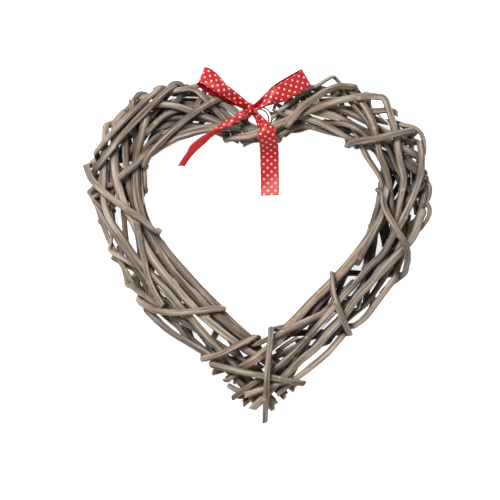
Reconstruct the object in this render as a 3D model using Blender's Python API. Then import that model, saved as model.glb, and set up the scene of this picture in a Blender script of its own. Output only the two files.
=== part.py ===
# Wicker heart wreath: willow rods wound into a hollow heart over a wire, a wire
# hanging ring in the cleft, and a spotted ribbon bow tied to the ring.
# Metres, +Z up. The wreath lies on its back, its tip towards -Y, and the origin
# is the bottom centre of its bounding box.

import math

import bmesh
import bpy
import numpy as np

# Heart, one half of its centre line: a straight limb, a flank arc, a lobe arc
# and a short straight down into the cleft
LIMB_SLANT = math.radians(45)
FLANK_RADIUS = 0.1137
LOBE_RADIUS = 0.0657
LOBE_OFFSET = 0.0617
CLEFT_TURN = math.radians(130)

# Woven section, measured to the centres of the rods
BAND_HALF_WIDTH = 0.0244
CLEFT_NARROWING = 0.5
NARROWING_STARTS = 85
CORE_HALF_DEPTH = 0.0080
EDGE_LANE = 1.15
LEAST_RISE = 0.30

# How the rods lie on one another
ROD_GAP = 0.0009
BEND_EASE = 0.0040
BRIDGE_CURVE = 10.0
TIGHT_CURVE = 25.0
STEP = 0.0015
NEARBY = 0.040
RIDE_OVER_DEPTH = 0.030
TIGHT_DEPTH = 0.012
OWN_REACH = 0.030
ROD_TAPER = 0.16
TURN_INSET = 0.0035
CHORD_ERROR = 0.0012
LONGEST_CHORD = 0.045

# How the loose pile is pressed together
PRESS_STEP = 0.0055
PRESS_ROUNDS = 80
SETTLE_ROUNDS = 50
PRESSED_DEPTH = 0.36
BACK_DEPTH = 0.0215
PUSH_SHARE = 0.9
PLAN_SHARE = 0.35
HOLD_SHARE = 0.03
HELD_EASE = 0.10
FREE_EASE = 0.80
STIFF_PASSES = 2

# Frame wire and hanging ring
FRAME_WIRE_RADIUS = 0.0010
FRAME_WIRE_LANE = 0.35
RING_RADIUS = 0.0108
RING_WIRE_RADIUS = 0.0012
RING_ABOVE_CLEFT = 0.0202
RING_HEIGHT = 0.0090
RING_TILT = math.radians(20)
RING_SECTIONS = 24

# Ribbon bow, with its angles measured from +X
RIBBON_WIDTH = 0.0157
RIBBON_THICKNESS = 0.0010
RIBBON_GAP = 0.0006
GATHERED_SHARE = 0.40
LOOP_GATHER = (0.0, 0.034)
TAIL_GATHER = (0.006, 0.022)
KNOT_ON_RING = math.radians(128)
KNOT_HALF_SIZES = (0.0058, 0.0050, 0.0048)
LOOP_LENGTH = 0.0545
LOOP_HALF_HEIGHT = 0.0062
LOOP_ROLL = math.radians(16)
LOOP_TURNS = (math.radians(147), math.radians(30.5))
TAIL_ROLL = math.radians(60)
RIGHT_TAIL = (
    (0.0, 0.0), (0.0065, -0.0070), (0.0120, -0.0170), (0.0150, -0.0290), (0.0162, -0.0520), (0.0165, -0.0760))
LEFT_TAIL = (
    (0.0, 0.0), (-0.0165, -0.0085), (-0.0350, -0.0185), (-0.0440, -0.0260), (-0.0550, -0.0400),
    (-0.0620, -0.0510))
DROOP = 0.012
LOOP_SECTIONS = 18
RIBBON_CURVE = 22.0
RISE_LENGTH = 0.0060

# Greyed willow bark, and how much lighter or darker one rod is than another
WILLOW_COLOUR = (0.30, 0.24, 0.19)
TONE_SPREAD = 0.12

L = -1
R = 1
TURN = "turn"
FRONT = 1
BACK = -1


# The heart in plan

def half_lengths():
    """Distances along the centre line where its four stretches end."""
    across = LOBE_OFFSET + LOBE_RADIUS - FLANK_RADIUS * (1 - math.cos(LIMB_SLANT))
    straight = across / math.sin(LIMB_SLANT)
    flank = straight + FLANK_RADIUS * LIMB_SLANT
    lobe = flank + LOBE_RADIUS * CLEFT_TURN
    to_axis = (LOBE_OFFSET + LOBE_RADIUS * math.cos(CLEFT_TURN)) / math.sin(CLEFT_TURN)
    return straight, flank, lobe, lobe + to_axis


def lobe_height():
    return half_lengths()[0] * math.cos(LIMB_SLANT) + FLANK_RADIUS * math.sin(LIMB_SLANT)


def centre_line(side, station):
    """Point and outward normal on one half, at a station from 0 (tip) to 100 (cleft)."""
    straight, flank, lobe, whole = half_lengths()
    high = lobe_height()
    run = station / 100 * whole
    if run <= straight:
        turn = LIMB_SLANT
        x = run * math.sin(turn)
        y = run * math.cos(turn)
    elif run <= flank:
        turn = LIMB_SLANT - (run - straight) / FLANK_RADIUS
        x = LOBE_OFFSET + LOBE_RADIUS - FLANK_RADIUS * (1 - math.cos(turn))
        y = high - FLANK_RADIUS * math.sin(turn)
    elif run <= lobe:
        turn = -(run - flank) / LOBE_RADIUS
        x = LOBE_OFFSET + LOBE_RADIUS * math.cos(turn)
        y = high - LOBE_RADIUS * math.sin(turn)
    else:
        turn = -CLEFT_TURN
        x = LOBE_OFFSET + LOBE_RADIUS * math.cos(turn) + (run - lobe) * math.sin(turn)
        y = high - LOBE_RADIUS * math.sin(turn) + (run - lobe) * math.cos(turn)
    return np.array((side * x, y)), np.array((side * math.cos(turn), -math.sin(turn)))


def half_width(station):
    """Half the band's width, which narrows towards the cleft."""
    share = min(1.0, max(0.0, (station - NARROWING_STARTS) / (100 - NARROWING_STARTS)))
    share = share * share * (3 - 2 * share)
    return BAND_HALF_WIDTH * (1 - CLEFT_NARROWING * share)


def in_plan(side, station, lane):
    """A place on the band: lane -1 is its inner edge, 0 the centre line, 1 its outer edge."""
    point, outward = centre_line(side, station)
    return point + outward * lane * half_width(station)


def sampled_heart():
    """Both halves of the centre line as points with the half width at each."""
    stations = np.arange(0, 100.5, 0.5)
    spots = [centre_line(side, s)[0] for side in (L, R) for s in stations]
    widths = [half_width(s) for side in (L, R) for s in stations]
    return np.array(spots), np.array(widths)


HEART_POINTS, HEART_WIDTHS = sampled_heart()


def nearest_on_heart(plan):
    """For each plan point, how far it is from the centre line, and the half width there."""
    away = plan[:, None, :] - HEART_POINTS[None, :, :]
    share = np.linalg.norm(away, axis=2) / HEART_WIDTHS
    nearest = share.argmin(axis=1)
    rows = np.arange(len(plan))
    return away[rows, nearest], HEART_WIDTHS[nearest]


def core_height(plan):
    """How high the innermost rods run over the hollow core."""
    away, width = nearest_on_heart(plan)
    lane = np.linalg.norm(away, axis=1) / width / EDGE_LANE
    rise = np.sqrt(np.maximum(0.0, 1 - lane ** 2))
    return CORE_HALF_DEPTH * np.maximum(LEAST_RISE, rise)


# Smooth routes

def respaced(points, step):
    """The same line with points an equal step apart."""
    runs = np.concatenate(([0.0], np.cumsum(np.linalg.norm(np.diff(points, axis=0), axis=1))))
    count = max(2, int(round(runs[-1] / step)) + 1)
    even = np.linspace(0.0, runs[-1], count)
    return np.column_stack([np.interp(even, runs, points[:, k]) for k in range(points.shape[1])])


def eased(values, step, ease):
    """Values along a line, smoothed over a length, with both ends kept."""
    reach = int(round(3 * ease / step))
    places = np.arange(-reach, reach + 1) * step
    weights = np.exp(-0.5 * (places / ease) ** 2)
    weights /= weights.sum()
    before = 2 * values[0] - values[1:reach + 1][::-1]
    after = 2 * values[-1] - values[-reach - 1:-1][::-1]
    padded = np.concatenate((before, values, after))
    columns = [np.convolve(padded[:, k], weights, mode="valid") for k in range(values.shape[1])]
    return np.column_stack(columns)


class Laid:
    """The centre lines laid so far, as points with a radius each."""

    def __init__(self):
        self.points = np.zeros((0, 3))
        self.radii = np.zeros(0)

    def add(self, points, radii):
        self.points = np.vstack((self.points, points))
        self.radii = np.concatenate((self.radii, np.broadcast_to(radii, len(points))))

    def around(self, points):
        """What lies close enough to a route to matter to it."""
        low = points.min(axis=0) - NEARBY
        high = points.max(axis=0) + NEARBY
        near = ((self.points > low) & (self.points < high)).all(axis=1)
        return self.points[near], self.radii[near]


def lift_over(base, normal, radii, points, point_radii, depth, allowed=None):
    """How far each base point moves along its normal to clear the given points."""
    if not len(points):
        return np.zeros(len(base))
    along = normal @ points.T - np.einsum("ij,ij->i", normal, base)[:, None]
    squares = (points ** 2).sum(axis=1)[None, :] + (base ** 2).sum(axis=1)[:, None]
    squares = squares - 2 * base @ points.T
    sideways = squares - along ** 2
    reach = (radii[:, None] + point_radii[None, :] + ROD_GAP) ** 2
    blocked = (sideways < reach) & (along < depth)
    if allowed is not None:
        blocked &= allowed
    needed = np.where(blocked, along + np.sqrt(np.maximum(reach - sideways, 0.0)), 0.0)
    return np.maximum(needed, 0.0).max(axis=1)


def bridged(lift, curve):
    """The lift of a stiff rod, which rises well before each rod it rides over."""
    places = np.arange(len(lift)) * STEP
    apart = places[:, None] - places[None, :]
    return np.maximum((lift[None, :] - curve * apart ** 2).max(axis=1), 0.0)


def simplified(points, error, longest):
    """Indices of the points that keep a line within an error."""
    kept = {0, len(points) - 1}
    spans = [(0, len(points) - 1)]
    while spans:
        first, last = spans.pop()
        if last - first < 2:
            continue
        chord = points[last] - points[first]
        length = np.linalg.norm(chord)
        away = points[first + 1:last] - points[first]
        if length > 1e-9:
            along = np.clip(away @ chord / length ** 2, 0.0, 1.0)
            away = away - along[:, None] * chord
        distance = np.linalg.norm(away, axis=1)
        worst = int(distance.argmax())
        if distance[worst] > error or length > longest:
            middle = first + 1 + worst if distance[worst] > error else (first + last) // 2
            kept.add(middle)
            spans += [(first, middle), (middle, last)]
    return sorted(kept)


def passes_of(stops, face):
    """The stretches of a rod between its turns, each with its face and plan line."""
    found = []
    line = []
    for stop in stops:
        side, station, lane = stop[:3]
        inset = TURN_INSET / half_width(station) if len(stop) > 3 else 0.0
        spot = in_plan(side, station, lane - math.copysign(inset, lane))
        line.append(spot)
        if len(stop) > 3:
            found.append((face, np.array(line)))
            line = [spot]
            face = -face
    found.append((face, np.array(line)))
    return found


def lay_rod(stops, face, diameter, laid):
    """A rod's line resting on all that is laid, the line it aims for, and its radii."""
    route = []
    normal = []
    own = Laid()
    thick = diameter / 2 * (1 + ROD_TAPER / 2)
    for side, plan in passes_of(stops, face):
        plan = eased(respaced(plan, STEP), STEP, BEND_EASE)
        up = np.tile((0.0, 0.0, float(side)), (len(plan), 1))
        base = np.column_stack((plan, side * core_height(plan)))
        radii = np.full(len(base), thick)
        others, other_radii = laid.around(base)
        lift = lift_over(base, up, radii, others, other_radii, RIDE_OVER_DEPTH)
        lift = np.maximum(lift, lift_over(base, up, radii, own.points, own.radii, RIDE_OVER_DEPTH))
        lift = eased(bridged(lift, BRIDGE_CURVE)[:, None], STEP, BEND_EASE)
        line = base + lift * up
        if route:
            top = route[-1]
            drop = respaced(np.array((top, line[0])), STEP)[1:-1]
            share = np.linspace(1, -1, len(drop) + 2)[1:-1] * -side
            out = nearest_on_heart(drop[:, :2])[0]
            out /= np.linalg.norm(out, axis=1)[:, None]
            flat = np.sqrt(1 - share ** 2)[:, None] * out
            route.extend(drop)
            normal.extend(np.column_stack((flat, share)))
        route.extend(line)
        normal.extend(up)
        own.add(line, radii)
    count = len(route)
    route = eased(np.array(route), STEP, BEND_EASE)
    normal = eased(np.array(normal), STEP, BEND_EASE)
    normal /= np.linalg.norm(normal, axis=1)[:, None]
    radii = diameter / 2 * np.linspace(1 + ROD_TAPER / 2, 1 - ROD_TAPER / 2, count)
    places = np.arange(count)
    earlier = (places[:, None] - places[None, :]) * STEP > OWN_REACH
    others, other_radii = laid.around(route)
    lift = np.zeros(count)
    for _ in range(6):
        smooth = eased(bridged(lift, TIGHT_CURVE)[:, None], STEP, BEND_EASE / 2)
        line = route + np.maximum(smooth, 0.0) * normal
        corners = simplified(line, CHORD_ERROR, LONGEST_CHORD)
        chain = np.column_stack([np.interp(places, corners, line[corners, k]) for k in range(3)])
        short = lift_over(chain, normal, radii, others, other_radii, TIGHT_DEPTH)
        short = np.maximum(short, lift_over(chain, normal, radii, chain, radii, TIGHT_DEPTH, earlier))
        if short.max() < ROD_GAP / 2:
            break
        lift = lift + np.where(short > 0, short + ROD_GAP / 4, 0.0)
    laid.add(chain, radii)
    return chain, route, radii


# Pressing the loose pile into a bundle

def closest_shares(start_a, end_a, start_b, end_b):
    """Where two segments come closest, as shares of each one's length."""
    along_a = end_a - start_a
    along_b = end_b - start_b
    apart = start_a - start_b
    aa = (along_a ** 2).sum(axis=1)
    bb = (along_b ** 2).sum(axis=1)
    ab = (along_a * along_b).sum(axis=1)
    ra = (along_a * apart).sum(axis=1)
    rb = (along_b * apart).sum(axis=1)
    spread = np.maximum(aa * bb - ab ** 2, 1e-18)
    share_a = np.clip((ab * rb - ra * bb) / spread, 0.0, 1.0)
    share_b = np.clip((ab * share_a + rb) / bb, 0.0, 1.0)
    share_a = np.clip((ab * share_b - ra) / aa, 0.0, 1.0)
    return share_a[:, None], share_b[:, None]


class Bundle:
    """All the lines together, as points, and segments from each point to the next."""

    def __init__(self, lines, aims, radii, fixed):
        sizes = [len(line) for line in lines]
        self.points = np.vstack(lines)
        self.aims = np.vstack(aims)
        self.radii = np.concatenate(radii)
        self.owner = np.repeat(np.arange(len(lines)), sizes)
        self.loose = ~np.isin(self.owner, fixed)[:, None]
        self.ends = np.ones((len(self.points), 1), dtype=bool)
        joined = self.owner[:-1] == self.owner[1:]
        self.ends[1:-1, 0] = ~(joined[1:] & joined[:-1])
        self.segments = np.nonzero(joined)[0]
        steps = np.linalg.norm(np.diff(self.points, axis=0), axis=1)
        self.runs = np.concatenate(([0.0], np.cumsum(steps)))

    def find_neighbours(self, margin):
        """Lists the pairs of segments close enough to touch within a margin."""
        segments = self.segments
        middles = (self.points[segments] + self.points[segments + 1]) / 2
        halves = np.linalg.norm(self.points[segments + 1] - self.points[segments], axis=1) / 2
        squares = (middles ** 2).sum(axis=1)
        squares = squares[:, None] + squares[None, :] - 2 * middles @ middles.T
        reach = halves + self.radii[segments] + (margin + ROD_GAP) / 2
        near = np.triu(squares < (reach[:, None] + reach[None, :]) ** 2, 1)
        first, second = np.nonzero(near)
        first = segments[first]
        second = segments[second]
        apart = self.owner[first] != self.owner[second]
        apart |= self.runs[second] - self.runs[first + 1] > OWN_REACH
        apart &= self.loose[first, 0] | self.loose[second, 0]
        self.first = first[apart]
        self.second = second[apart]

    def pushes(self):
        """How each point moves to part the rods that touch, and the worst overlap."""
        points = self.points
        a = self.first
        b = self.second
        share_a, share_b = closest_shares(points[a], points[a + 1], points[b], points[b + 1])
        between = points[a] * (1 - share_a) + points[a + 1] * share_a
        between -= points[b] * (1 - share_b) + points[b + 1] * share_b
        distance = np.linalg.norm(between, axis=1)
        needed = np.maximum(self.radii[a], self.radii[a + 1]) + ROD_GAP - distance
        needed += np.maximum(self.radii[b], self.radii[b + 1])
        hit = needed > 0
        worst = needed.max() if len(needed) else 0.0
        a = a[hit]
        b = b[hit]
        share_a = share_a[hit]
        share_b = share_b[hit]
        shares = (share_a ** 2 + (1 - share_a) ** 2 + share_b ** 2 + (1 - share_b) ** 2)
        apart = between[hit] * (PLAN_SHARE, PLAN_SHARE, 1.0)
        apart /= np.linalg.norm(apart, axis=1)[:, None]
        push = apart * needed[hit, None] / shares
        places = np.concatenate((a, a + 1, b, b + 1))
        parts = np.concatenate((1 - share_a, share_a, 1 - share_b, share_b))
        moves = np.concatenate((push, push, -push, -push)) * parts
        count = len(points)
        total = np.column_stack([np.bincount(places, moves[:, k], count) for k in range(3)])
        weight = np.bincount(places, parts[:, 0], count)
        return total / np.maximum(1.0, weight)[:, None], worst

    def sunk(self, points):
        """How far each point is below the flat back of the bundle."""
        return np.maximum(0.0, self.radii - BACK_DEPTH - points[:, 2])

    def spread(self, moves, held):
        """Shares each point's move with its neighbours, as a stiff rod does."""
        smooth = moves.copy()
        share = np.where(held[1:-1], HELD_EASE, FREE_EASE)
        smooth[1:-1] += share * (0.5 * (moves[:-2] + moves[2:]) - moves[1:-1])
        return np.where(self.ends, moves, smooth)


def press(bundle):
    """Squeezes the pile in depth while the rods keep each other apart."""
    start = bundle.points.copy()
    drift = bundle.aims - start
    moved = np.zeros_like(start)
    for turn in range(PRESS_ROUNDS + SETTLE_ROUNDS):
        share = min(1.0, turn / PRESS_ROUNDS)
        if turn % 16 == 0:
            bundle.find_neighbours(0.008)
        push, worst = bundle.pushes()
        held = np.abs(push).sum(axis=1, keepdims=True) > 0
        if turn < PRESS_ROUNDS:
            moved *= np.where(held, 1.0, 1 - HOLD_SHARE)
        moved += PUSH_SHARE * push
        for _ in range(STIFF_PASSES):
            moved = bundle.spread(moved, held)
        home = (start + drift * share) * (1.0, 1.0, 1 + (PRESSED_DEPTH - 1) * share)
        if share == 1.0:
            moved[:, 2] += bundle.sunk(home + moved)
        bundle.points = np.where(bundle.loose, home + moved, start)


def settle(bundle):
    """Parts the last touching rods, without squeezing."""
    bundle.find_neighbours(0.004)
    for _ in range(SETTLE_ROUNDS):
        push, worst = bundle.pushes()
        if worst < ROD_GAP / 2:
            break
        bundle.points = bundle.points + np.where(bundle.loose, PUSH_SHARE * push, 0.0)
        bundle.points[:, 2] += bundle.sunk(bundle.points)
    return worst


# Wires

def frame_wire_line():
    """The closed heart of wire inside the weave, its first point given again at the end."""
    stations = np.arange(0, 100, 1.0)
    left = [in_plan(L, s, FRAME_WIRE_LANE) for s in stations]
    right = [in_plan(R, s, FRAME_WIRE_LANE) for s in stations]
    plan = [spot for spot in left if spot[0] < -FRAME_WIRE_RADIUS]
    plan += [spot for spot in right[::-1] if spot[0] > FRAME_WIRE_RADIUS]
    plan = np.array(plan + plan[:1])
    line = np.column_stack((plan, np.zeros(len(plan))))
    return line[simplified(line, CHORD_ERROR / 2, LONGEST_CHORD)]


def ring_centre():
    cleft = centre_line(L, 100)[0]
    return np.array((0.0, cleft[1] + RING_ABOVE_CLEFT, RING_HEIGHT))


def on_ring(angle):
    """A place on the hanging ring, which leans forward at its top."""
    lean = np.array((0.0, math.cos(RING_TILT), math.sin(RING_TILT)))
    sideways = np.array((1.0, 0.0, 0.0))
    return ring_centre() + RING_RADIUS * (math.cos(angle) * sideways + math.sin(angle) * lean)


def ring_line():
    """The ring's wire, its first point given again at the end."""
    return np.array([on_ring(math.tau * k / RING_SECTIONS) for k in range(RING_SECTIONS + 1)])


# Ribbon

def gathered_widths(runs, gather):
    """The ribbon's width at distances from the knot, where it is gathered."""
    share = np.clip((runs - gather[0]) / (gather[1] - gather[0]), 0.0, 1.0)
    share = share * share * (3 - 2 * share)
    return RIBBON_WIDTH * (GATHERED_SHARE + (1 - GATHERED_SHARE) * share)


def strip_lift(centres, across, widths, obstacles):
    """How far a strip's centre line rises to clear the rods and the ring."""
    up = np.tile((0.0, 0.0, 1.0), (len(centres), 1))
    radii = np.full(len(centres), RIBBON_THICKNESS / 2 + RIBBON_GAP)
    lift = np.zeros(len(centres))
    for lane in (-0.5, -0.25, 0.0, 0.25, 0.5):
        places = centres + across * (lane * widths)[:, None]
        points, point_radii = obstacles.around(places)
        lift = np.maximum(lift, lift_over(places, up, radii, points, point_radii, 0.05))
    return lift


def freed(lift, runs):
    """A strip's lift made supple, and none where the knot still holds it."""
    lift = eased(bridged(lift, RIBBON_CURVE)[:, None], STEP, BEND_EASE)[:, 0]
    share = np.clip((runs - KNOT_HALF_SIZES[0] * 0.7) / RISE_LENGTH, 0.0, 1.0)
    return lift * share * share * (3 - 2 * share)


def add_strip(name, centres, across, widths, closed):
    """A flat band bent along a line, then given its thickness."""
    if closed:
        centres, across, widths = (np.concatenate((part, part[:1])) for part in (centres, across, widths))
    last = len(centres) - 1
    band = bmesh.new()
    bmesh.ops.create_grid(band, x_segments=last, y_segments=1, size=1.0)
    for corner in band.verts:
        place = int(round((corner.co.x + 1) / 2 * last))
        corner.co = centres[place] + across[place] * widths[place] * corner.co.y / 2
    if closed:
        bmesh.ops.remove_doubles(band, verts=band.verts, dist=1e-6)
    bmesh.ops.triangulate(band, faces=band.faces)
    item = as_object(name, band)
    thickness = item.modifiers.new("thickness", "SOLIDIFY")
    thickness.thickness = RIBBON_THICKNESS
    thickness.offset = 0.0
    return solid_copy(item)


def as_object(name, shell):
    mesh = bpy.data.meshes.new(name)
    shell.to_mesh(mesh)
    shell.free()
    item = bpy.data.objects.new(name, mesh)
    bpy.context.collection.objects.link(item)
    return item


def loop_strip(name, turn, knot, obstacles):
    """One loop of the bow: out from the knot on top, round, and back beneath."""
    out = np.array((math.cos(turn), math.sin(turn), 0.0))
    flat = np.array((-out[1], out[0], 0.0))
    up = np.array((0.0, 0.0, 1.0))
    across = math.cos(LOOP_ROLL) * flat + math.sin(LOOP_ROLL) * up
    rise = math.cos(LOOP_ROLL) * up - math.sin(LOOP_ROLL) * flat
    runs = np.arange(0.0, LOOP_LENGTH, STEP)
    widths = gathered_widths(runs, LOOP_GATHER)
    thin = RIBBON_THICKNESS * 1.2
    swell = np.maximum(0.0, 1 - (2 * runs / LOOP_LENGTH - 1) ** 2) ** 0.7 * LOOP_HALF_HEIGHT * 0.8
    beneath = knot + runs[:, None] * out - (thin + swell)[:, None] * rise
    lift = strip_lift(beneath, np.tile(across, (len(runs), 1)), widths, obstacles)
    lift = freed(lift, runs)
    angles = math.tau * (np.arange(LOOP_SECTIONS) + 0.5) / LOOP_SECTIONS - math.pi
    share = (1 + np.cos(angles)) / 2
    heights = np.sin(angles) * (thin + (LOOP_HALF_HEIGHT - thin) * share ** 0.5)
    lifts = np.interp(share * LOOP_LENGTH, runs, lift)
    centres = knot + (share * LOOP_LENGTH)[:, None] * out + heights[:, None] * rise + lifts[:, None] * up
    sides = np.tile(across, (LOOP_SECTIONS, 1))
    return add_strip(name, centres, sides, gathered_widths(share * LOOP_LENGTH, LOOP_GATHER), True)


def tail_strip(name, stops, rolls, knot, obstacles):
    """One tail, resting on the rods and drooping into the opening."""
    plan = eased(respaced(np.array(stops), STEP), STEP, BEND_EASE)
    runs = np.arange(len(plan)) * STEP
    along = np.gradient(plan, axis=0)
    along /= np.linalg.norm(along, axis=1)[:, None]
    share = runs / runs[-1]
    roll = np.interp(share, *rolls)
    across = np.column_stack((-along[:, 1] * np.cos(roll), along[:, 0] * np.cos(roll), np.sin(roll)))
    widths = gathered_widths(runs, TAIL_GATHER)
    droop = DROOP * (share ** 2)
    centres = knot + np.column_stack((plan, -droop))
    lift = strip_lift(centres, across, widths, obstacles)
    lift = freed(lift, runs)
    centres[:, 2] += lift
    kept = simplified(centres, CHORD_ERROR / 2, 0.012)
    return add_strip(name, centres[kept], across[kept], widths[kept], False)


def merge(item, other, operation):
    """Applies a Boolean and removes the second solid."""
    modifier = item.modifiers.new(operation.lower(), "BOOLEAN")
    modifier.operation = operation
    modifier.object = other
    modifier.solver = "EXACT"
    modifier.use_self = True
    graph = bpy.context.evaluated_depsgraph_get()
    made = bpy.data.meshes.new_from_object(item.evaluated_get(graph))
    item.modifiers.clear()
    item.data = made
    bpy.data.objects.remove(other, do_unlink=True)


def ribbon_bow(obstacles, material):
    """Knot, two loops and two tails as one solid, with the ring passing through the knot."""
    knot = on_ring(KNOT_ON_RING)
    shell = bmesh.new()
    bmesh.ops.create_uvsphere(shell, u_segments=12, v_segments=8, radius=1.0)
    bmesh.ops.scale(shell, vec=KNOT_HALF_SIZES, verts=shell.verts)
    bmesh.ops.translate(shell, vec=knot, verts=shell.verts)
    bow = as_object("ribbon_bow", shell)
    start = knot + (0.0, 0.0, KNOT_HALF_SIZES[2] * 0.35)
    for number, turn in enumerate(LOOP_TURNS):
        merge(bow, loop_strip("loop_%d" % number, turn, start, obstacles), "UNION")
    flat = ((0.0, 1.0), (0.0, 0.0))
    tilted = ((0.0, 0.2, 1.0), (0.0, TAIL_ROLL, TAIL_ROLL))
    merge(bow, tail_strip("tail_right", RIGHT_TAIL, flat, start, obstacles), "UNION")
    merge(bow, tail_strip("tail_left", LEFT_TAIL, tilted, start, obstacles), "UNION")
    gap = [RING_WIRE_RADIUS + RIBBON_GAP] * RING_SECTIONS
    merge(bow, solid_copy(add_tube("ring_gap", ring_line()[:-1], gap, material, True)), "DIFFERENCE")
    bow.data.materials.clear()
    bow.data.materials.append(material)
    return bow


# Finishes

def finish(name, colour, roughness, metallic=0.0):
    material = bpy.data.materials.new(name)
    material.use_nodes = True
    shader = material.node_tree.nodes["Principled BSDF"]
    shader.inputs["Base Color"].default_value = (*colour, 1.0)
    shader.inputs["Roughness"].default_value = roughness
    shader.inputs["Metallic"].default_value = metallic
    return material


def add_tube(name, centres, radii, material, closed=False):
    """A round bar along a line, as a curve with a bevel and filled ends."""
    curve = bpy.data.curves.new(name, "CURVE")
    curve.dimensions = "3D"
    curve.bevel_depth = 1.0
    curve.bevel_resolution = 1
    curve.use_fill_caps = not closed
    spline = curve.splines.new("POLY")
    spline.points.add(len(centres) - 1)
    spline.use_cyclic_u = closed
    for point, centre, radius in zip(spline.points, centres, radii):
        point.co = (*centre, 1.0)
        point.radius = radius
    curve.materials.append(material)
    item = bpy.data.objects.new(name, curve)
    bpy.context.collection.objects.link(item)
    return item


def solid_copy(item):
    """The item's finished surface as a mesh object, in place of the item."""
    graph = bpy.context.evaluated_depsgraph_get()
    mesh = bpy.data.meshes.new_from_object(item.evaluated_get(graph))
    solid = bpy.data.objects.new(item.name + "_solid", mesh)
    bpy.context.collection.objects.link(solid)
    bpy.data.objects.remove(item, do_unlink=True)
    return solid


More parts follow.
